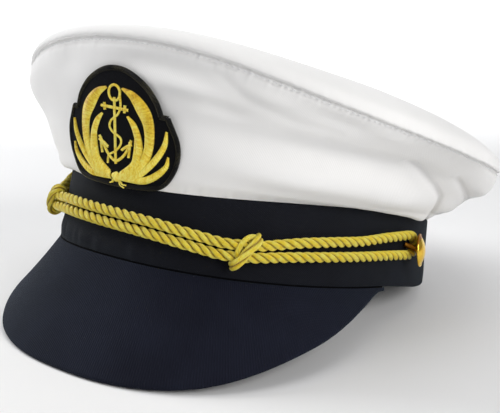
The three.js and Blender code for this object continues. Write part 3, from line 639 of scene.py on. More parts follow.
# Geometry Nodes helpers: a tree with named inputs, run once and turned into a plain mesh
def newTree(name, **inputs):
    tree = bpy.data.node_groups.new(name, "GeometryNodeTree")
    for label, kind in {"Geometry": "Geometry", **inputs}.items():
        tree.interface.new_socket(label, in_out="INPUT", socket_type="NodeSocket" + kind)
    tree.interface.new_socket("Geometry", in_out="OUTPUT", socket_type="NodeSocketGeometry")
    return tree, tree.nodes.new("NodeGroupInput").outputs, tree.nodes.new("NodeGroupOutput")


def namedValue(tree, name, kind="FLOAT"):
    return put(tree, "GeometryNodeInputNamedAttribute", {"Name": name}, data_type=kind).outputs["Attribute"]


def storeValue(tree, geometry, name, value, kind="FLOAT"):
    return put(tree, "GeometryNodeStoreNamedAttribute", {"Geometry": geometry, "Name": name, "Value": value},
               data_type=kind, domain="POINT").outputs["Geometry"]


def position(tree):
    return put(tree, "GeometryNodeInputPosition").outputs[0]


def elementNumber(tree):
    return put(tree, "GeometryNodeInputIndex").outputs[0]


def asCurve(tree, given):
    return put(tree, "GeometryNodeMeshToCurve", {0: given["Geometry"]}).outputs[0]


def pointsAlong(tree, given):
    return put(tree, "GeometryNodeCurveToPoints", {"Curve": asCurve(tree, given), "Length": given["spacing"]},
               mode="LENGTH").outputs


def circle(tree, given, radius):
    return put(tree, "GeometryNodeCurvePrimitiveCircle",
               {"Resolution": given["sides"], "Radius": radius}).outputs[0]


# A random number from -1 to 1 for each element
def randomValue(tree, seed, number=None):
    node = put(tree, "FunctionNodeRandomValue", {"Seed": seed, "ID": number}, data_type="FLOAT")
    least, most = [s for s in node.inputs if s.type == "VALUE"][:2]
    least.default_value, most.default_value = -1, 1
    return next(s for s in node.outputs if s.enabled and s.type == "VALUE")


def finishTree(tree, geometry, given, end):
    whole = put(tree, "GeometryNodeRealizeInstances", {"Geometry": geometry}).outputs[0]
    smooth = put(tree, "GeometryNodeSetShadeSmooth", {"Geometry": whole}).outputs[0]
    painted = put(tree, "GeometryNodeSetMaterial", {"Geometry": smooth, "Material": given["Material"]})
    tree.links.new(painted.outputs[0], end.inputs[0])
    return tree


def pathMesh(name, paths, values):
    mesh = bpy.data.meshes.new(name)
    points, edges = [], []
    for path, closed in paths:
        first = len(points)
        points += [tuple(p) for p in path]
        edges += [(first + i, first + i + 1) for i in range(len(path) - 1)]
        if closed:
            edges.append((len(points) - 1, first))
    mesh.from_pydata(points, edges, [])
    for key, value in values.items():
        value = np.asarray(value, np.float32)
        kind, field = ("FLOAT_VECTOR", "vector") if value.ndim == 2 else ("FLOAT", "value")
        mesh.attributes.new(key, kind, "POINT").data.foreach_set(field, value.ravel())
    piece = bpy.data.objects.new(name, mesh)
    bpy.context.scene.collection.objects.link(piece)
    return piece


def runTree(piece, tree, values):
    modifier = piece.modifiers.new(tree.name, "NODES")
    modifier.node_group = tree
    for item in tree.interface.items_tree:
        if item.item_type == "SOCKET" and item.in_out == "INPUT" and item.name in values:
            modifier[item.identifier] = values[item.name]
    bpy.context.view_layer.update()
    made = bpy.data.meshes.new_from_object(piece.evaluated_get(bpy.context.evaluated_depsgraph_get()))
    piece.modifiers.remove(modifier)
    piece.data = made
    return piece


# Twisted cord: plies wound round a path, squeezed where the path says so
def makeCordTree():
    tree, given, end = newTree("twistedCord", plies="Int", layRadius="Float", plyRadius="Float",
                               pitch="Float", sides="Int", Material="Material")
    stored = storeValue(tree, asCurve(tree, given), "axisPoint", position(tree), "FLOAT_VECTOR")
    copies = put(tree, "GeometryNodeDuplicateElements", {"Geometry": stored, "Amount": given["plies"]},
                 domain="SPLINE").outputs
    out = namedValue(tree, "outDir", "FLOAT_VECTOR")
    tangent = put(tree, "GeometryNodeInputTangent").outputs[0]
    side = vectorNode(tree, "NORMALIZE", vectorNode(tree, "CROSS_PRODUCT", out, tangent))
    along = put(tree, "GeometryNodeSplineParameter").outputs["Length"]
    phase = plus(tree, mathNode(tree, "DIVIDE", along, given["pitch"]),
                 mathNode(tree, "DIVIDE", copies["Duplicate Index"], given["plies"]))
    angle = times(tree, phase, 2 * math.pi)
    offset = [vectorNode(tree, "SCALE", way, scale=times(tree, mathNode(tree, wave, angle), given["layRadius"]))
              for way, wave in ((side, "COSINE"), (out, "SINE"))]
    moved = put(tree, "GeometryNodeSetPosition", {
        "Geometry": storeValue(tree, copies["Geometry"], "alongCord", along),
        "Offset": vectorNode(tree, "ADD", *offset)}).outputs[0]
    turned = put(tree, "GeometryNodeSetCurveNormal", {"Curve": moved, "Normal": out}, mode="FREE").outputs[0]
    around = mathNode(tree, "DIVIDE", elementNumber(tree), given["sides"])
    profile = storeValue(tree, circle(tree, given, given["plyRadius"]), "aroundCord", around)
    tube = put(tree, "GeometryNodeCurveToMesh", {"Curve": turned, "Profile Curve": profile}).outputs[0]
    # each point's distance from the cord's middle, kept as cordDepth for the painted shade in the grooves
    away = vectorNode(tree, "SUBTRACT", position(tree), namedValue(tree, "axisPoint", "FLOAT_VECTOR"))
    measured = mathNode(tree, "DIVIDE", vectorNode(tree, "LENGTH", away),
                        plus(tree, given["layRadius"], given["plyRadius"]))
    less = mathNode(tree, "SUBTRACT", namedValue(tree, "squeeze"), 1)
    depth = times(tree, vectorNode(tree, "DOT_PRODUCT", away, out), less)
    pressed = put(tree, "GeometryNodeSetPosition", {
        "Geometry": storeValue(tree, tube, "cordDepth", measured),
        "Offset": vectorNode(tree, "SCALE", out, scale=depth)})
    return finishTree(tree, pressed.outputs[0], given, end)


cordTree = makeCordTree()


def dropValues(mesh, names):
    for name in names:
        if name in mesh.attributes:
            mesh.attributes.remove(mesh.attributes[name])


def cordUvs(mesh, radius):
    count = len(mesh.vertices)
    along, around = np.zeros(count, np.float32), np.zeros(count, np.float32)
    mesh.attributes["alongCord"].data.foreach_get("value", along)
    mesh.attributes["aroundCord"].data.foreach_get("value", around)
    corner = np.zeros(len(mesh.loops), np.int32)
    mesh.loops.foreach_get("vertex_index", corner)
    u, v = along[corner].reshape(-1, 4), around[corner].reshape(-1, 4)
    whole = along.max() + np.median(np.diff(np.unique(along)))
    u = np.where((u.max(1) - u.min(1) > whole / 2)[:, None] & (u < whole / 2), u + whole, u)
    v = np.where((v.max(1) - v.min(1) > 0.5)[:, None] & (v < 0.5), v + 1, v)
    layer = mesh.uv_layers.new(name="clothUv")
    uv = np.stack([u.ravel(), v.ravel() * 2 * math.pi * radius], -1).astype(np.float32)
    layer.data.foreach_set("uv", uv.ravel())
    dropValues(mesh, ("alongCord", "aroundCord", "axisPoint", "outDir", "squeeze"))


cord = {
    "radius": 2.45, "plies": 3, "plyRadius": 1.16, "layRadius": 1.33, "pitch": 14.2, "sides": 12,
    "step": 0.75, "liftSpan": 9, "endReach": 1.3, "endAngle": 85,
    # turn, middle as a share of the band's height, strands apart in cord diameters
    "strands": [(-189, 0.56, 2.1), (-180, 0.58, 1.9), (-168, 0.64, 1.6), (-155, 0.73, 1.4),
                (-144, 0.72, 1.25), (-136, 0.62, 1.1), (-129, 0.53, 1.08), (-121, 0.525, 1.02),
                (-110, 0.55, 1.06), (-95, 0.55, 1.08), (-77, 0.51, 1.08), (-62, 0.43, 1.08),
                (-54, 0.385, 1.08), (-47, 0.385, 1.08), (-41, 0.4, 1.08), (-30, 0.45, 1.3),
                (-20, 0.48, 1.4), (-9, 0.51, 1.5), (1, 0.56, 1.85), (8, 0.585, 2.05)],
    "knots": {"knotLeftCord": ("knot_left", -47.5), "knotRightCord": ("knot_right", -126)},
    "knotRadius": 1.95, "knotPitch": 34, "knotStep": 0.55, "knotSides": 10,
    "backPress": 0.7, "backHalf": 0.7, "tight": 1.0, "slack": 0.5,
    # each knot's thread and lay radius
    "knotThreads": {"knotLeftCord": (1.14, 1.22), "knotRightCord": (0.95, 1.0)},
    # shift along the strands, rise, slant and depth of each turn
    "turns": {"knotLeftCord": [(0.7, -0.4, 0.74, 0)],
              "knotRightCord": [(-0.9, -0.3, 0.6, -0.5), (1.1, -0.2, 0.62, -0.6), (3, -0.6, 0.66, -0.3)]},
    # the bight that stands up above the left knot: along, up and out from its middle, in mm
    "bight": [(-3.1, -1.6, 3.6), (-2.6, 1.0, 4.2), (-1.6, 3.6, 4.2), (0.2, 5.8, 3.6), (2.5, 6.9, 2.9),
              (4.7, 6.4, 2.5), (5.7, 4.4, 2.2), (4.8, 2.3, 1.4), (1.2, 0, 1.2), (-2.2, -2.2, 2)],
    "bightOut": 2.75, "bightRadius": 1.2, "bightSides": 14,
}


def strandLift(degrees):
    rise = cord["slack"] + 2 * cord["backHalf"]
    lifts = [rise * np.exp(-((degrees - at) / cord["liftSpan"]) ** 4) for _, at in cord["knots"].values()]
    return np.maximum(*lifts)


def strandPoint(degrees, side):
    degrees = np.asarray(degrees, float)
    keys = [row[0] for row in cord["strands"]]
    middle = smoothValue(keys, [row[1] for row in cord["strands"]], degrees)
    apart = smoothValue(keys, [row[2] for row in cord["strands"]], degrees)
    turn = np.radians(degrees)
    return vec(bandArcAt(turn), middle * bandHeight(turn) + side * apart * cord["radius"],
               cord["radius"] + hat["gap"] + strandLift(degrees))


def flatToBand(flat):
    turn = bandTurnAt(flat[..., 0])
    return onBand(turn, flat[..., 1] / bandHeight(turn), flat[..., 2])


def evenly(path, step):
    whole = np.concatenate([path, path[:1]])
    lengths = runAlong(whole)
    at = np.linspace(0, lengths[-1], max(int(round(lengths[-1] / step)), 4), endpoint=False)
    return np.stack([np.interp(at, lengths, whole[:, k]) for k in range(3)], -1)


def smoothLoop(path, rounds):
    for _ in range(rounds):
        path = (np.roll(path, 1, 0) + 2 * path + np.roll(path, -1, 0)) / 4
    return path


def onwards(path):
    return unit(np.roll(path, -1, 0) - np.roll(path, 1, 0))


def acrossPath(path, out):
    tangent = onwards(path)
    return unit(out - tangent * (out * tangent).sum(-1, keepdims=True))


# The twist's pitch in metres, so that a whole number of them goes into a loop
def wholePitch(path, pitch):
    length = np.linalg.norm(np.roll(path, -1, 0) - path, axis=1).sum() * 0.001
    return length / round(length / (pitch * 0.001)), length


goldLook = {
    # groove colour: painted shade for the grooves between the plies
    "grooveShade": (0.36, 0.16, 0.003), "dark": (1.0, 0.66, 0.012), "middle": (1.0, 0.8, 0.035),
    "light": (1.0, 0.92, 0.18), "threads": 13, "lay": 0.0014, "bump": 0.00016,
    "grooveFrom": 0.46, "grooveTo": 0.88, "cloud": 350, "fuzz": 1500, "fuzzDepth": 1.2, "threadShade": 0.11,
    "sockets": {"Roughness": 0.32, "Sheen Weight": 0.9, "Sheen Roughness": 0.35,
                "Sheen Tint": (1, 0.82, 0.24, 1), "Specular IOR Level": 0.75,
                "Specular Tint": (1, 0.9, 0.5, 1)},
}


def goldThreadMaterial(name, look, plyRadius):
    material, tree, shader = newMaterial(name, look["sockets"])
    place = objectPlace(tree)
    turns = look["threads"] / (2 * math.pi * plyRadius * 0.001)
    angle = math.atan(turns * look["lay"])
    lines = waveLines(tree, clothUv(tree), math.sin(angle) / turns, angle)
    height = plus(tree, lines, times(tree, noise(tree, place, look["fuzz"], 3, 0.6), look["fuzzDepth"]))
    shade = plus(tree, noise(tree, place, look["cloud"], 3), times(tree, lines, look["threadShade"]))
    bright = colourRamp(tree, shade, [(0.25, look["dark"]), (0.45, look["middle"]), (0.7, look["light"])])
    # painted shade: the grooves between the plies are darkened to brown, the more the nearer a point lies to
    # the cord's middle
    proud = put(tree, "ShaderNodeMapRange", {
        "Value": attribute(tree, "cordDepth"), "From Min": look["grooveFrom"], "From Max": look["grooveTo"]},
        interpolation_type="SMOOTHSTEP").outputs["Result"]
    mix = put(tree, "ShaderNodeMix", data_type="RGBA")
    for socket, value in (("Factor", proud), ("B", bright)):
        tree.links.new(value, mix.inputs[socket])
    mix.inputs["A"].default_value = (*look["grooveShade"], 1)
    dressShader(tree, shader, mix.outputs["Result"], height, look["bump"])
    return material


cordGold = goldThreadMaterial("cordGold", goldLook, cord["plyRadius"])


def strapPath():
    first, last = cord["strands"][0][0], cord["strands"][-1][0]
    turns = np.linspace(first, last, 700)
    ends = []
    for way, degrees in ((1, last), (-1, first)):
        high, low = strandPoint(degrees, 1), strandPoint(degrees, -1)
        radius, centre = (high[1] - low[1]) / 2, (high + low) / 2
        angle = np.radians(np.linspace(cord["endAngle"], -cord["endAngle"], 30)) * way
        ends.append(vec(centre[0] + way * radius * cord["endReach"] * np.cos(angle),
                        centre[1] + radius * np.sin(angle), centre[2]))
    flat = np.concatenate([strandPoint(turns, 1), ends[0], strandPoint(turns[::-1], -1), ends[1]])
    return smoothLoop(evenly(flat, 0.5), 12)


# Cord wound along closed paths; sizes in mm, but the pitch in metres
def windCord(name, paths, outs, squeezes, plies, lay, ply, pitch, sides):
    piece = pathMesh(name, [(toRow(path), True) for path in paths],
                     {"outDir": turnToRow(np.concatenate(outs)), "squeeze": np.concatenate(squeezes)})
    runTree(piece, cordTree, {"plies": plies, "layRadius": lay * 0.001, "plyRadius": ply * 0.001,
                              "pitch": pitch, "sides": sides, "Material": cordGold})
    cordUvs(piece.data, ply * 0.001)
    return piece


def makeStrap():
    flat = evenly(strapPath(), cord["step"])
    path = flatToBand(flat)
    out = acrossPath(path, outwards(bandTurnAt(flat[:, 0])))
    pitch, length = wholePitch(path, cord["pitch"])
    return windCord("cordStrapTwist", [path], [out], [np.ones(len(path))], cord["plies"], cord["layRadius"],
                    cord["plyRadius"], pitch, cord["sides"]), length


def knotMiddle(degrees):
    return (strandPoint(degrees, 1) + strandPoint(degrees, -1)) / 2


def makeKnot(name, degrees):
    centre = knotMiddle(degrees)
    apart = 2 * (strandPoint(degrees, 1)[1] - centre[1])
    reach = cord["radius"] + cord["slack"] + cord["knotRadius"] - cord["tight"]
    behind = cord["radius"] + cord["slack"] / 2 + cord["backHalf"]

    def pointAt(angle, shift, rise, slant, out):
        depth = np.where(np.sin(angle) > 0, reach + out, behind)
        c = np.cos(angle)
        height = reach * c + np.sign(c) * (apart / 2) * np.minimum(np.abs(c) * 3, 1)
        return vec(slant * height + shift, height + rise * (1 + np.sin(angle)) / 2, depth * np.sin(angle))

    def place(local):
        middle = knotMiddle(np.degrees(bandTurnAt(centre[0] + local[..., 0])))
        return flatToBand(middle + vec(0 * local[..., 0], local[..., 1], local[..., 2]))

    ply, lay = cord["knotThreads"][name]
    paths, outs, squeezes = [], [], []
    for shift, rise, slant, out in cord["turns"][name]:
        local = smoothLoop(evenly(pointAt(wholeTurn(400), shift, rise, slant, out), cord["knotStep"]), 8)
        radial = unit(np.cross(onwards(local), unit(np.array([1, -slant, 0]))))
        radial *= np.sign((radial * local).sum(-1).mean())
        paths.append(place(local))
        outs.append(acrossPath(paths[-1], unit(place(local + radial * 0.2) - paths[-1])))
        flat = np.clip(-local[:, 2] / behind, 0, 1) ** cord["backPress"]
        squeezes.append(1 + (cord["backHalf"] / (ply + lay) - 1) * flat)
    pitch, _ = wholePitch(paths[-1], cord["knotPitch"])
    return windCord(name, paths, outs, squeezes, cord["plies"], lay, ply, pitch, cord["knotSides"])


def makeBight(name, degrees):
    centre = knotMiddle(degrees)
    points = np.array(cord["bight"])
    for _ in range(4):
        points = np.stack([points * 0.75 + np.roll(points, -1, 0) * 0.25,
                           points * 0.25 + np.roll(points, -1, 0) * 0.75], 1).reshape(-1, 3)
    local = evenly(points, 0.5)
    turn = bandTurnAt(centre[0] + local[:, 0])
    middle = knotMiddle(np.degrees(turn))
    path = flatToBand(vec(centre[0] + local[:, 0], middle[:, 1] + local[:, 1], cord["bightOut"] + local[:, 2]))
    # one ply, so its pitch has no say
    return windCord(name, [path], [acrossPath(path, outwards(turn))], [np.ones(len(path))], 1, 0,
                    cord["bightRadius"], 1, cord["bightSides"])


cordStrap, strapLength = makeStrap()
knots = {name: makeKnot(name, degrees) for name, (_, degrees) in cord["knots"].items()}
knotBight = makeBight("knotLeftBight", cord["knots"]["knotLeftCord"][1])
print("cord made, loop", round(strapLength * 1000), "mm")

# Buttons: a stamped gold dome on a shank
button = {
    "radius": 8.4, "dome": 2.2, "rim": 1.1, "shank": 1.4, "reach": 7.5, "lip": 0.45, "columns": 72,
    "yaw": 18, "droop": 14, "tilt": -9,
    "gold": [(0.25, (0.88, 0.46, 0.025)), (0.6, (1.0, 0.70, 0.09))], "roughness": 0.24,
    "shankGold": (0.4, 0.17, 0.02),
}
buttonGold = grainMaterial("buttonGold", {"Metallic": 1.0, "Roughness": button["roughness"]}, (220, 4),
                           button["gold"], 0.00006)
buttonShank, _, _ = newMaterial("buttonShank", {
    "Base Color": (*button["shankGold"], 1), "Metallic": 1.0, "Roughness": 0.35})


def makeButton(name, row, way):
    r, reach, rim, dome, lip, shank = (button[k] for k in ("radius", "reach", "rim", "dome", "lip", "shank"))
    profile = [(0, 0), (shank, 0), (shank, 0.4), (shank * 0.9, 0.8), (shank * 0.9, reach - 1.2),
               (shank * 1.3, reach - 0.5), (shank * 1.8, reach), (r * 0.85, reach), (r * 0.96, reach + 0.1)]
    around = np.radians(np.linspace(-80, 110, 12))
    profile += [(r - lip + lip * math.cos(a), reach + rim * 0.5 + rim * 0.5 * math.sin(a)) for a in around]
    profile += [(r * 0.9, reach + rim * 0.72), (r * 0.86, reach + rim * 0.7)]
    profile += [(r * share, reach + rim * 0.75 + (dome + rim * 0.25) * (1 - (share / 0.86) ** 2) ** 0.8)
                for share in np.linspace(0.84, 0, 16)]
    angles = wholeTurn(button["columns"])
    rings = np.array([vec(radius * np.cos(angles), radius * np.sin(angles), high)
                      for radius, high in profile])
    axis = outwards(math.radians(row[0]))
    c, s = math.cos(way * math.radians(button["yaw"])), math.sin(way * math.radians(button["yaw"]))
    level = np.array([axis[0] * c - axis[1] * s, axis[0] * s + axis[1] * c, 0])
    side = unit(np.cross([0, 0, 1], level))
    middle = knotMiddle(row[0])
    foot = flatToBand(np.array([middle[0], middle[1], hat["gap"] * 2]))
    stalk, disc = (level * math.cos(angle) - np.array([0, 0, 1]) * math.sin(angle)
                   for angle in (math.radians(button["droop"]), math.radians(button["tilt"])))
    high = rings[..., 2:]
    turned = np.clip((high - reach + 2) / 2, 0, 1)
    across = unit(np.cross(unit(stalk + (disc - stalk) * turned), side))
    points = (foot + np.minimum(high, reach) * stalk + np.maximum(high - reach, 0) * disc
              + rings[..., :1] * side + rings[..., 1:2] * across)
    piece = ringMesh(name, toRow(points), buttonGold, poles=(0, len(profile) - 1), closedRows=False)
    piece.data.materials.append(buttonShank)
    start, along = toRow(foot), turnToRow(stalk)
    for face in piece.data.polygons:
        if (np.array(face.center) - start) @ along < (reach - 0.7) * 0.001:
            face.material_index = 1
    return piece


buttonLeft = makeButton("buttonLeftGold", cord["strands"][-1], 1)
buttonRight = makeButton("buttonRightGold", cord["strands"][0], -1)
print("buttons made")

# Seam between band and peak: a thin near-black tube in the groove, painted shadow standing for the shade there
shadowWelt = {"radius": 0.75, "sink": 0.75, "sides": 10, "steps": 300, "colour": (0.0012, 0.0012, 0.0018)}
shadowWeltBlack, _, _ = newMaterial("shadowWeltBlack", {
    "Base Color": (*shadowWelt["colour"], 1), "Roughness": 0.95, "Specular IOR Level": 0.05})


def makeShadowWelt():
    reach = math.radians(peak["span"]) * 0.995
    turn = np.linspace(-math.pi / 2 - reach, -math.pi / 2 + reach, shadowWelt["steps"])
    middle = onBand(turn, 0, -shadowWelt["radius"] * shadowWelt["sink"])
    middle[:, 2] -= hat["gap"] / 2
    angle = wholeTurn(shadowWelt["sides"])[:, None]
    way = outwards(turn)[:, None] * np.cos(angle) + [0, 0, 1] * np.sin(angle)
    rings = middle[:, None] + shadowWelt["radius"] * way
    tips = [rings[n].mean(0)[None, None].repeat(shadowWelt["sides"], 1) for n in (0, -1)]
    piece = ringMesh("peakShadowWelt", toRow(np.concatenate([tips[0], rings, tips[1]])), shadowWeltBlack,
                     poles=(0, shadowWelt["steps"] + 1), closedRows=False)
    fixNormals(piece)
    return piece


peakShadowWelt = makeShadowWelt()


# Rows of stitches: short threads lying end to end along a path
def makeRowTree():
    tree, given, end = newTree("stitchRow", spacing="Float", length="Float", wire="Float", uneven="Float",
                               seed="Int", Material="Material")
    points = pointsAlong(tree, given)
    grain = put(tree, "GeometryNodeMeshUVSphere", {"Segments": 7, "Rings": 5, "Radius": 1}).outputs["Mesh"]
    aim = put(tree, "FunctionNodeAlignRotationToVector", {"Vector": points["Tangent"]}, axis="Z")
    share = plus(tree, times(tree, randomValue(tree, given["seed"]), given["uneven"]), 1)
    long = times(tree, times(tree, given["length"], 0.5), share)
    size = put(tree, "ShaderNodeCombineXYZ", {0: given["wire"], 1: given["wire"], 2: long}).outputs[0]
    copies = put(tree, "GeometryNodeInstanceOnPoints", {
        "Points": points["Points"], "Instance": grain, "Rotation": aim.outputs["Rotation"], "Scale": size})
    return finishTree(tree, copies.outputs[0], given, end)


rowTree = makeRowTree()
crownStitch = {"below": 2.3, "steps": 1200, "grain": [(0.3, (0.7, 0.7, 0.71)), (0.7, (0.8, 0.8, 0.81))],
               "thread": {"spacing": 0.0027, "length": 0.0019, "wire": 0.00024, "uneven": 0.12, "seed": 2}}
threadWhite = grainMaterial("threadWhite", {"Roughness": 0.6, "Sheen Weight": 0.2, "Specular IOR Level": 0.35},
                            (900, 2), crownStitch["grain"], 0.00005)


def makeSeamStitches():
    turn = wholeTurn(crownStitch["steps"])
    low, high, _, _ = sideLine(turn)
    share = (1 - crownStitch["below"] / np.linalg.norm(high - low, axis=1))[:, None]
    rows = sideFace(turn, share.mean() + np.array([-0.01, 0, 0.01]))
    normal = surfaceNormals(rows)[1]
    puff = ((rows[1] - (low + (high - low) * share.mean())) * normal).sum(-1, keepdims=True)
    path = low + (high - low) * share + normal * (puff + 0.05)
    piece = pathMesh("crownSeamStitches", [(toRow(path), True)], {})
    return runTree(piece, rowTree, {**crownStitch["thread"], "Material": threadWhite})


crownSeamStitches = makeSeamStitches()
print("welt and seam stitches made")

# Badge: felt cut to a shield, its edge overlocked, with satin-stitched leaves and anchor
badge = {
    "halfWidth": 38.3, "height": 53.8, "offset": 1.5, "thickness": 1.6, "seat": 0.16, "threadSink": 0.15,
    # right half of the outline, from the foot's middle, as shares of half width and height
    "outline": [(0, 0), (0.26, 0.003), (0.5, 0.01), (0.76, 0.03), (0.9, 0.085), (0.985, 0.2), (1, 0.32),
                (0.955, 0.44), (0.87, 0.54), (0.77, 0.635), (0.7, 0.645), (0.605, 0.755), (0.47, 0.86),
                (0.32, 0.935), (0.16, 0.985), (0, 1)],
    "steps": [(0.785, 0.641), (0.685, 0.641)], "stepReach": 1.3, "stepPull": 0.8,
    # the middle's height as a share; how far, as a share, and how deep the felt's edge is rounded
    "middle": 0.47, "edgeShare": 0.012, "edgeRound": 0.35,
    "felt": [(0.35, (0.0018, 0.0018, 0.0026)), (0.7, (0.0052, 0.0054, 0.0072))],
    "overlock": {"spacing": 0.0006, "halfWidth": 1.1, "inset": 0.55, "wire": 0.0003, "height": 0.95,
                 "foot": 0.62, "uneven": 0.0002, "slant": 0.25, "seed": 4},
}
leaves = {
    # across, up, half width share
    "table": [
        [(0.13, 0.825, 0.1), (0.28, 0.777, 0.5), (0.43, 0.67, 0.85), (0.53, 0.545, 0.72),
         (0.56, 0.38, 0.66), (0.51, 0.25, 0.68), (0.37, 0.135, 0.6), (0.09, 0.08, 0.4)],
        [(0.215, 0.6, 0.1), (0.315, 0.53, 0.38), (0.395, 0.415, 0.48), (0.42, 0.295, 0.5),
         (0.36, 0.17, 0.5), (0.1, 0.09, 0.4)],
        [(0.35, 0.415, 0.1), (0.368, 0.31, 0.34), (0.325, 0.2, 0.4), (0.11, 0.1, 0.35)],
        [(0.785, 0.525, 0.1), (0.785, 0.415, 0.33), (0.71, 0.305, 0.42), (0.58, 0.2, 0.42),
         (0.38, 0.105, 0.38), (0.1, 0.085, 0.35)],
        [(0.86, 0.315, 0.1), (0.85, 0.23, 0.32), (0.715, 0.14, 0.44), (0.535, 0.085, 0.42),
         (0.3, 0.072, 0.33), (0.09, 0.075, 0.33)]],
    # painted shade for each leaf: how much ochre, its sign naming the side; it fades from the tip towards the
    # base
    "paintedShades": [1.0, 0.55, 0.45, -0.35, -0.5], "paintedShadeFade": 1.3, "steps": 44,
    "halfWidth": 4, "raise": 1.3, "spacing": 0.0005, "slant": 0.35,
}
anchor = {
    "ringAt": (0, 0.785), "ringSize": (0.09, 0.066),
    "shank": [(0, 0.745), (0.004, 0.56), (0.008, 0.38), (0.013, 0.19)],
    "stock": [(-0.215, 0.667), (0, 0.66), (0.215, 0.653)],
    "arms": [(-0.277, 0.405), (-0.2, 0.33), (-0.11, 0.255), (0.012, 0.212), (0.15, 0.262), (0.24, 0.34),
             (0.28, 0.405)],
    "barbs": [[(-0.283, 0.375), (-0.2, 0.352), (-0.125, 0.322)],
              [(-0.256, 0.392), (-0.25, 0.33), (-0.236, 0.268)],
              [(0.29, 0.371), (0.205, 0.347), (0.13, 0.316)],
              [(0.261, 0.388), (0.258, 0.325), (0.245, 0.26)]],
    "crosses": [[(-0.168, 0.692), (-0.163, 0.637)], [(0.168, 0.688), (0.163, 0.63)]],
    "rope": [(0.085, 0.78), (0.1, 0.68), (0.055, 0.61), (-0.06, 0.55), (-0.085, 0.495), (-0.02, 0.45),
             (0.1, 0.41), (0.105, 0.36), (0.02, 0.3), (-0.11, 0.25), (-0.135, 0.185)],
    "bar": 0.56, "ropeBar": 0.36, "spacing": 0.00042, "wire": 0.0002, "uneven": 0.00006,
}
tie = {"line": [(-0.045, 0.086), (0.02, 0.076), (0.095, 0.064)], "halves": [0.9, 2.3, 1.1], "spacing": 0.00042,
       "ends": [[(-0.03, 0.06), (-0.05, 0.035), (-0.03, 0.03), (-0.09, 0.018)],
                [(0.09, 0.05), (0.14, 0.02), (0.22, 0.018)], [(0.07, 0.045), (0.1, 0.012), (0.17, -0.005)]],
       "endHalf": 0.2}


def onBadge(across, high, proud):
    across, high, proud = np.broadcast_arrays(np.asarray(across, float), high, proud)
    turn = badgeTurnAt(across + badge["offset"])
    low, _, chord, out = sideLine(turn.ravel())
    shape = across.shape
    point = (low + chord * high.ravel()[:, None]
             + out * (hat["crownPuff"] * badge["seat"] + proud.ravel())[:, None])
    return point.reshape(*shape, 3)


def badgeOut(across):
    turn = badgeTurnAt(np.asarray(across, float) + badge["offset"])
    return sideLine(turn)[3]


# A smooth line through points, evenly divided
def smoothLine(points, steps, closed=False):
    points = np.asarray(points, float)
    if closed:
        points = np.concatenate([points[-2:], points, points[:3]])
    lengths = runAlong(points[:, :2], 0.5)
    dense = np.linspace(lengths[2], lengths[-3], 600) if closed else np.linspace(0, lengths[-1], 600)
    line = smoothRows(lengths, points.T, dense).T
    run = runAlong(line[:, :2])
    at = np.linspace(0, run[-1], steps + closed)[:steps]
    return np.stack([np.interp(at, run, line[:, k]) for k in range(line.shape[1])], -1)


feltBlack = grainMaterial("feltBlack", {
    "Roughness": 0.92, "Sheen Weight": 0.04, "Sheen Roughness": 0.5, "Sheen Tint": (0.6, 0.65, 0.8, 1),
    "Specular IOR Level": 0.08}, (1300, 5, 0.7), badge["felt"], 0.00025)


# The outline's two steps stay square where the smooth line would round them
def badgeCorners(ring):
    for mirror in (1, -1):
        for at in badge["steps"]:
            corner = np.array([mirror * at[0] * badge["halfWidth"], at[1] * badge["height"]])
            near = np.exp(-(np.linalg.norm(ring - corner, axis=1) / badge["stepReach"]) ** 2)[:, None]
            ring = ring + (corner - ring) * near * badge["stepPull"]
    return ring


def makeBadgePatch():
    half = np.array([(x * badge["halfWidth"], y * badge["height"]) for x, y in badge["outline"]])
    corners = np.concatenate([half, (half * [-1, 1])[::-1][1:-1]])
    ring = badgeCorners(smoothLine(corners, 300, closed=True))
    centre = badge["height"] * badge["middle"]
    shares = [1, 0.995, 0.985, 0.97, 0.955, 0.94, 0.9, *np.linspace(0.84, 0, 15)]
    highs = [badge["thickness"] - badge["edgeRound"] * max(0, 1 - (1 - share) / badge["edgeShare"]) ** 2
             for share in shares]
    below = [0, 0.5, 0.9, 1]
    rings = [onBadge(ring[:, 0] * share, centre + (ring[:, 1] - centre) * share, hat["gap"] + high)
             for share, high in zip([*shares, *below], [*highs, *[0] * len(below)])]
    return ringMesh("badgeFelt", toRow(np.array(rings)), feltBlack, poles=(len(shares) - 1, len(shares))), ring


badgeFelt, badgeRing = makeBadgePatch()


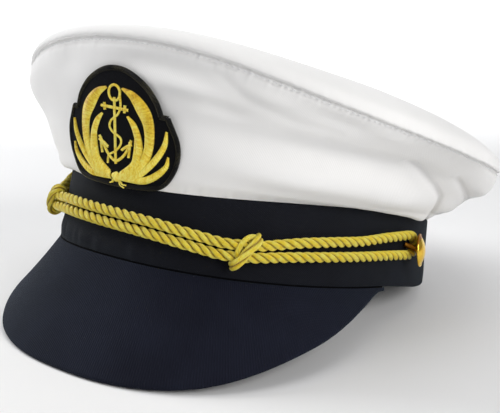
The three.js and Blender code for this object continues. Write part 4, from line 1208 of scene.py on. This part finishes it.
# Threads laid side by side across a path: each one an arch of a few dozen faces
def makeStitchTree():
    tree, given, end = newTree("satinThreads", spacing="Float", wire="Float", sides="Int", uneven="Float",
                               seed="Int", Material="Material")
    archPoints = 7
    points = pointsAlong(tree, given)["Points"]
    arch = put(tree, "GeometryNodeCurveArc", {"Resolution": archPoints, "Radius": 1, "Start Angle": 0,
                                              "Sweep Angle": math.pi}).outputs["Curve"]
    # the arch's own x, y: across the path and up; kept before its place is set
    local = storeValue(tree, arch, "archAt", position(tree), "FLOAT_VECTOR")
    copies = put(tree, "GeometryNodeInstanceOnPoints", {"Points": points, "Instance": local}).outputs[0]
    whole = put(tree, "GeometryNodeRealizeInstances", {0: copies}).outputs[0]
    at = put(tree, "ShaderNodeSeparateXYZ", {0: namedValue(tree, "archAt", "FLOAT_VECTOR")}).outputs
    out = namedValue(tree, "outDir", "FLOAT_VECTOR")
    across = vectorNode(tree, "SCALE", namedValue(tree, "acrossDir", "FLOAT_VECTOR"), scale=at[0])
    number = mathNode(tree, "FLOOR", mathNode(tree, "DIVIDE", elementNumber(tree), archPoints))
    random = randomValue(tree, given["seed"], number)
    lifted = vectorNode(tree, "SCALE", out, scale=times(tree, times(tree, random, given["uneven"]), at[1]))
    place = namedValue(tree, "basePoint", "FLOAT_VECTOR")
    for shift in (lifted, across, vectorNode(tree, "SCALE", out, scale=at[1])):
        place = vectorNode(tree, "ADD", place, shift)
    placed = put(tree, "GeometryNodeSetPosition", {"Geometry": whole, "Position": place}).outputs[0]
    # painted shade: ochre lies on the side that the sign of the painted shade value names
    paintedShade = namedValue(tree, "paintedShade")
    paintedShadeAmount = times(tree, plus(tree, times(tree, paintedShade, at[0]), mathNode(tree, "ABSOLUTE", paintedShade)), 0.5)
    shaded = storeValue(tree, storeValue(tree, placed, "threadPaintedShade", paintedShadeAmount), "threadShade", random)
    tube = put(tree, "GeometryNodeCurveToMesh", {
        "Curve": shaded, "Profile Curve": circle(tree, given, given["wire"]), "Fill Caps": True})
    return finishTree(tree, tube.outputs[0], given, end)


stitchTree = makeStitchTree()


# Thread colour: each thread a little lighter or darker, and painted shade that turns one side of a leaf ochre,
# most at its tip
def threadMaterial(name, look):
    material, tree, shader = newMaterial(name, {
        "Roughness": look["roughness"], "Sheen Weight": 0.35, "Sheen Roughness": 0.3,
        "Sheen Tint": (1, 0.9, 0.4, 1), "Specular IOR Level": look["specular"]})
    place = objectPlace(tree)
    cloud = noise(tree, place, look["cloud"], 3, 0.55)
    fine = noise(tree, place, look["grain"], 2)
    shade = plus(tree, times(tree, cloud, 0.55), times(tree, fine, 0.45))
    shade = plus(tree, shade, times(tree, attribute(tree, "threadShade"), look["thread"]))
    # painted shade: darker, towards ochre, where the stored value says
    shade = mathNode(tree, "SUBTRACT", shade, times(tree, attribute(tree, "threadPaintedShade"), look["paintedShadeDepth"]))
    dressShader(tree, shader, colourRamp(tree, shade, look["stops"]), fine, 0.00005)
    return material


embroideryLook = {
    "stops": [(0.06, (0.42, 0.2, 0.005)), (0.24, (0.74, 0.47, 0.012)), (0.42, (0.93, 0.72, 0.05)),
              (0.6, (1.0, 0.9, 0.2))],
    "roughness": 0.38, "specular": 0.5, "cloud": 300, "grain": 1300, "thread": 0.1, "paintedShadeDepth": 0.34,
}
embroideryGold = threadMaterial("embroideryGold", embroideryLook)
overlockLook = {
    "stops": [(0.42, (0.0016, 0.0016, 0.0026)), (0.6, (0.0042, 0.0042, 0.006)),
              (0.7, (0.012, 0.012, 0.015)), (0.78, (0.14, 0.14, 0.15))],
    "roughness": 0.7, "specular": 0.2, "cloud": 260, "grain": 700, "thread": 0.1, "paintedShadeDepth": 0,
}
overlockBlack = threadMaterial("overlockBlack", overlockLook)


# Satin threads across strips; line columns: across, up, half width, crest (mm), painted shade
def satinFrame(line, closed, slant, foot):
    x, y, half, crest = line.T[:4]
    ahead = np.roll(line[:, :2], -1, 0) - np.roll(line[:, :2], 1, 0)
    along = unit(ahead if closed else np.gradient(line[:, :2], axis=0))
    lay = unit(np.stack([-along[:, 1], along[:, 0]], -1) + along * slant)
    ends = [toRow(onBadge(x + s * lay[:, 0] * half, y + s * lay[:, 1] * half, foot + 0 * x)) for s in (-1, 1)]
    return (ends[0] + ends[1]) / 2, (ends[1] - ends[0]) / 2, turnToRow(badgeOut(x)) * crest[:, None] * 0.001


def satinThreads(name, strips, spacing, material, foot, wire=0.00026, uneven=0.00012, slant=0.0, seed=1):
    frames = [satinFrame(line, closed, slant, foot) for line, closed in strips]
    base, across, out = (np.concatenate([f[n] for f in frames]) for n in range(3))
    piece = pathMesh(name, [(f[0], closed) for f, (_, closed) in zip(frames, strips)], {
        "basePoint": base, "acrossDir": across, "outDir": out,
        "paintedShade": np.concatenate([line[:, 4] for line, _ in strips])})
    runTree(piece, stitchTree, {"spacing": spacing, "wire": wire, "sides": 5, "uneven": uneven, "seed": seed,
                                "Material": material})
    dropValues(piece.data, ("archAt", "acrossDir", "outDir", "basePoint", "paintedShade"))
    return piece


# The raised form that the threads lie on
def satinGround(name, strips, material, foot, slant=0.0):
    section = [(-0.92, 0), (-0.7, 0.5), (-0.35, 0.78), (0, 0.88), (0.35, 0.78), (0.7, 0.5), (0.92, 0)]
    points, faces = [], []
    for line, closed in strips:
        base, across, out = satinFrame(line, closed, slant, foot)
        rows = np.array([base + across * s + out * h for s, h in section] + [base - out * 0.1])
        rows = rows.transpose(1, 0, 2)
        first, (count, width) = len(points), rows.shape[:2]
        points += [tuple(p) for p in rows.reshape(-1, 3)]
        for i in range(count if closed else count - 1):
            j = (i + 1) % count
            faces += [[first + i * width + k, first + j * width + k, first + j * width + (k + 1) % width,
                       first + i * width + (k + 1) % width] for k in range(width)]
        if not closed:
            faces.append([first + k for k in range(width)])
            faces.append([first + (count - 1) * width + k for k in range(width)][::-1])
    ground = makeObject(name, points, faces, material)
    fixNormals(ground)
    return ground


def satin(name, strips, spacing, wire=0.00026, uneven=0.00012, slant=0.0, seed=1):
    foot = hat["gap"] + badge["thickness"] - badge["threadSink"]
    return [satinThreads(name + "Threads", strips, spacing, embroideryGold, foot, wire, uneven, slant, seed),
            satinGround(name + "Ground", strips, embroideryGold, foot, slant)]


def badgeLine(points, halves, steps, mirror=1, closed=False, paintedShades=0.0):
    halves = np.broadcast_to(np.asarray(halves, float), (len(points),))
    paintedShades = np.broadcast_to(np.asarray(paintedShades, float), (len(points),))
    rows = np.array([(mirror * p[0] * badge["halfWidth"], p[1] * badge["height"], h, t)
                     for p, h, t in zip(points, halves, paintedShades)])
    line = smoothLine(rows, steps, closed)
    crest = leaves["raise"] * np.minimum(0.55 + line[:, 2] / leaves["halfWidth"], 1)
    return np.stack([line[:, 0], line[:, 1], line[:, 2], crest, line[:, 3]], -1), closed


def wreath(name, mirror):
    strips = []
    for points, paintedShadeAmount in zip(leaves["table"], leaves["paintedShades"]):
        fade = np.linspace(1, 0, len(points)) ** leaves["paintedShadeFade"]
        strips.append(badgeLine(points, [p[2] * leaves["halfWidth"] for p in points], leaves["steps"], mirror,
                                paintedShades=paintedShadeAmount * fade * mirror))
    return satin(name, strips, leaves["spacing"], slant=leaves["slant"] * mirror, seed=3 + mirror)


wreathLeft = wreath("wreathLeft", 1)
wreathRight = wreath("wreathRight", -1)
wreathTie = satin("wreathTie", [badgeLine(tie["line"], tie["halves"], 20)]
                  + [badgeLine(line, tie["endHalf"], 16) for line in tie["ends"]], tie["spacing"], seed=8)
ringAt, ringSize = anchor["ringAt"], anchor["ringSize"]
ringLine = [(ringAt[0] + ringSize[0] * math.sin(a), ringAt[1] - ringSize[1] * math.cos(a))
            for a in np.radians(np.arange(15, 375, 30))]
bars = [anchor["shank"], anchor["stock"], anchor["arms"], *anchor["barbs"], *anchor["crosses"]]
anchorStrips = [badgeLine(line, anchor["bar"], 30) for line in bars]
anchorStrips.append(badgeLine(ringLine, anchor["bar"] * 0.8, 60, closed=True))
anchorStrips.append(badgeLine(anchor["rope"], anchor["ropeBar"], 90))
anchorPieces = satin("anchor", anchorStrips, anchor["spacing"], anchor["wire"], anchor["uneven"], seed=5)


# Overlock: threads wrapped round the felt's cut edge
def makeOverlock():
    look = badge["overlock"]
    inwards = unit(np.array([0, badge["height"] * badge["middle"]]) - badgeRing)
    path = badgeRing + inwards * look["inset"]
    flat = 0 * path[:, 0]
    line = np.stack([path[:, 0], path[:, 1], flat + look["halfWidth"], flat + look["height"], flat], -1)
    foot = hat["gap"] + badge["thickness"] * look["foot"]
    return satinThreads("badgeOverlock", [(line, True)], look["spacing"], overlockBlack, foot,
                        look["wire"], look["uneven"], look["slant"], look["seed"])


badgeOverlock = makeOverlock()
print("badge made")

# Camera: where the photograph was taken from, in the hat's frame (mm)
view = {"eye": (321.747, -415.8, 65.085), "aim": (3.461, -7.234, 26.327), "up": (0, -0.229047, 0.973415),
        "lens": 69.903, "sensor": 36}
eye, aim = toRow(np.array(view["eye"])), toRow(np.array(view["aim"]))
back = unit(eye - aim)
right = unit(np.cross(turnToRow(np.array(view["up"])), back))
upward = np.cross(back, right)
camera = bpy.data.cameras.new("camera")
camera.lens, camera.sensor_width, camera.sensor_fit = view["lens"], view["sensor"], "HORIZONTAL"
camera.clip_start, camera.clip_end = 0.01, 20
cameraObject = bpy.data.objects.new("camera", camera)
cameraObject.matrix_world = Matrix([[right[i], upward[i], back[i], eye[i]] for i in range(3)] + [[0, 0, 0, 1]])
bpy.context.scene.collection.objects.link(cameraObject)
bpy.context.scene.camera = cameraObject

# Studio: a pale floor running up into a wall, with soft boxes; the main one is on the left
studio = {
    "floorColour": (0.84, 0.84, 0.845), "floorTint": 0.985, "world": (0.96, 0.975, 1.0), "worldStrength": 0.26,
    "size": 5.0, "wallAt": 1.9, "curve": 1.8, "wallHigh": 3.4,
    # name, place, aim, size, watts, colour
    "lights": [("keyLight", (1.3, -0.25, 0.7), (0, 0, 0.07), 0.9, 13, (1, 0.99, 0.975)),
               ("sideLight", (-1.3, -0.25, 0.8), (0, 0, 0.07), 0.9, 16, (1, 1, 1)),
               ("topLight", (0, -0.2, 1.5), (0, 0, 0.08), 1.1, 5.5, (1, 1, 1)),
               ("wallLight", (-0.5, 1.2, 1.6), (-1.4, 2.7, 0.6), 2.2, 80, (1, 1, 1))],
}


def makeFloor():
    # turned so that the wall stands behind the hat as the camera sees it
    away = unit(np.array([aim[0] - eye[0], aim[1] - eye[1], 0]))
    side = np.array([-away[1], away[0], 0])
    profile = [(-studio["size"], 0), (studio["wallAt"], 0)]
    for a in np.radians(np.linspace(0, 90, 14)[1:]):
        profile.append((studio["wallAt"] + studio["curve"] * math.sin(a), studio["curve"] * (1 - math.cos(a))))
    profile.append((studio["wallAt"] + studio["curve"], studio["wallHigh"]))
    points = [tuple(away * d + side * s + np.array([0, 0, h])) for d, h in profile
              for s in (-studio["size"], studio["size"])]
    faces = [[2 * i + 1, 2 * i, 2 * i + 2, 2 * i + 3] for i in range(len(profile) - 1)]
    tint = [c * studio["floorTint"] for c in studio["floorColour"]]
    material = grainMaterial("floorPaper", {"Roughness": 0.9, "Specular IOR Level": 0.1}, (3, 2),
                             [(0.3, tint), (0.7, studio["floorColour"])])
    makeObject("studioFloor", points, faces, material)


def makeLight(name, place, target, size, watts, colour):
    lamp = bpy.data.lights.new(name, "AREA")
    lamp.shape, lamp.size, lamp.energy, lamp.color = "DISK", size, watts, colour
    lampObject = bpy.data.objects.new(name, lamp)
    lampObject.location = place
    lampObject.rotation_euler = (Vector(target) - Vector(place)).to_track_quat("-Z", "Y").to_euler()
    bpy.context.scene.collection.objects.link(lampObject)


makeFloor()
for row in studio["lights"]:
    makeLight(*row)
world = bpy.data.worlds.new("studioWorld")
world.use_nodes = True
world.node_tree.nodes["Background"].inputs["Color"].default_value = (*studio["world"], 1)
world.node_tree.nodes["Background"].inputs["Strength"].default_value = studio["worldStrength"]
bpy.context.scene.world = world
bpy.context.scene.view_settings.view_transform = "Standard"
print("camera and lights made")

# What each piece stands for, the finish it takes and the body it rides on
dressing = [
    ([crownTopCloth], "crown_top", "white_cotton"),
    ([crownSideCloth, crownSeamStitches], "crown_side", "white_cotton"),
    ([bandCloth], "band", "dark_twill"), ([peakCloth, peakShadowWelt], "peak", "dark_twill"),
    ([cordStrap], "cord_strap", "gold_cord"), ([knots["knotLeftCord"], knotBight], "knot_left", "gold_cord"),
    ([knots["knotRightCord"]], "knot_right", "gold_cord"),
    ([buttonLeft], "button_left", "gold_metal"), ([buttonRight], "button_right", "gold_metal"),
    ([badgeFelt, badgeOverlock], "badge_patch", "black_felt"), (wreathLeft, "wreath_left", "gold_thread"),
    (wreathRight, "wreath_right", "gold_thread"), (wreathTie, "wreath_tie", "gold_thread"),
    (anchorPieces, "anchor", "gold_thread"),
]
for pieces, node, finish in dressing:
    for piece in pieces:
        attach(piece, "root")
        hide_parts(node)

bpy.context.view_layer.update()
triangles = sum(len(o.data.loop_triangles) or sum(len(f.vertices) - 2 for f in o.data.polygons)
                for o in bpy.context.scene.objects if o.type == "MESH" and not o.hide_render)
print("pieces dressed, triangles shown:", triangles)
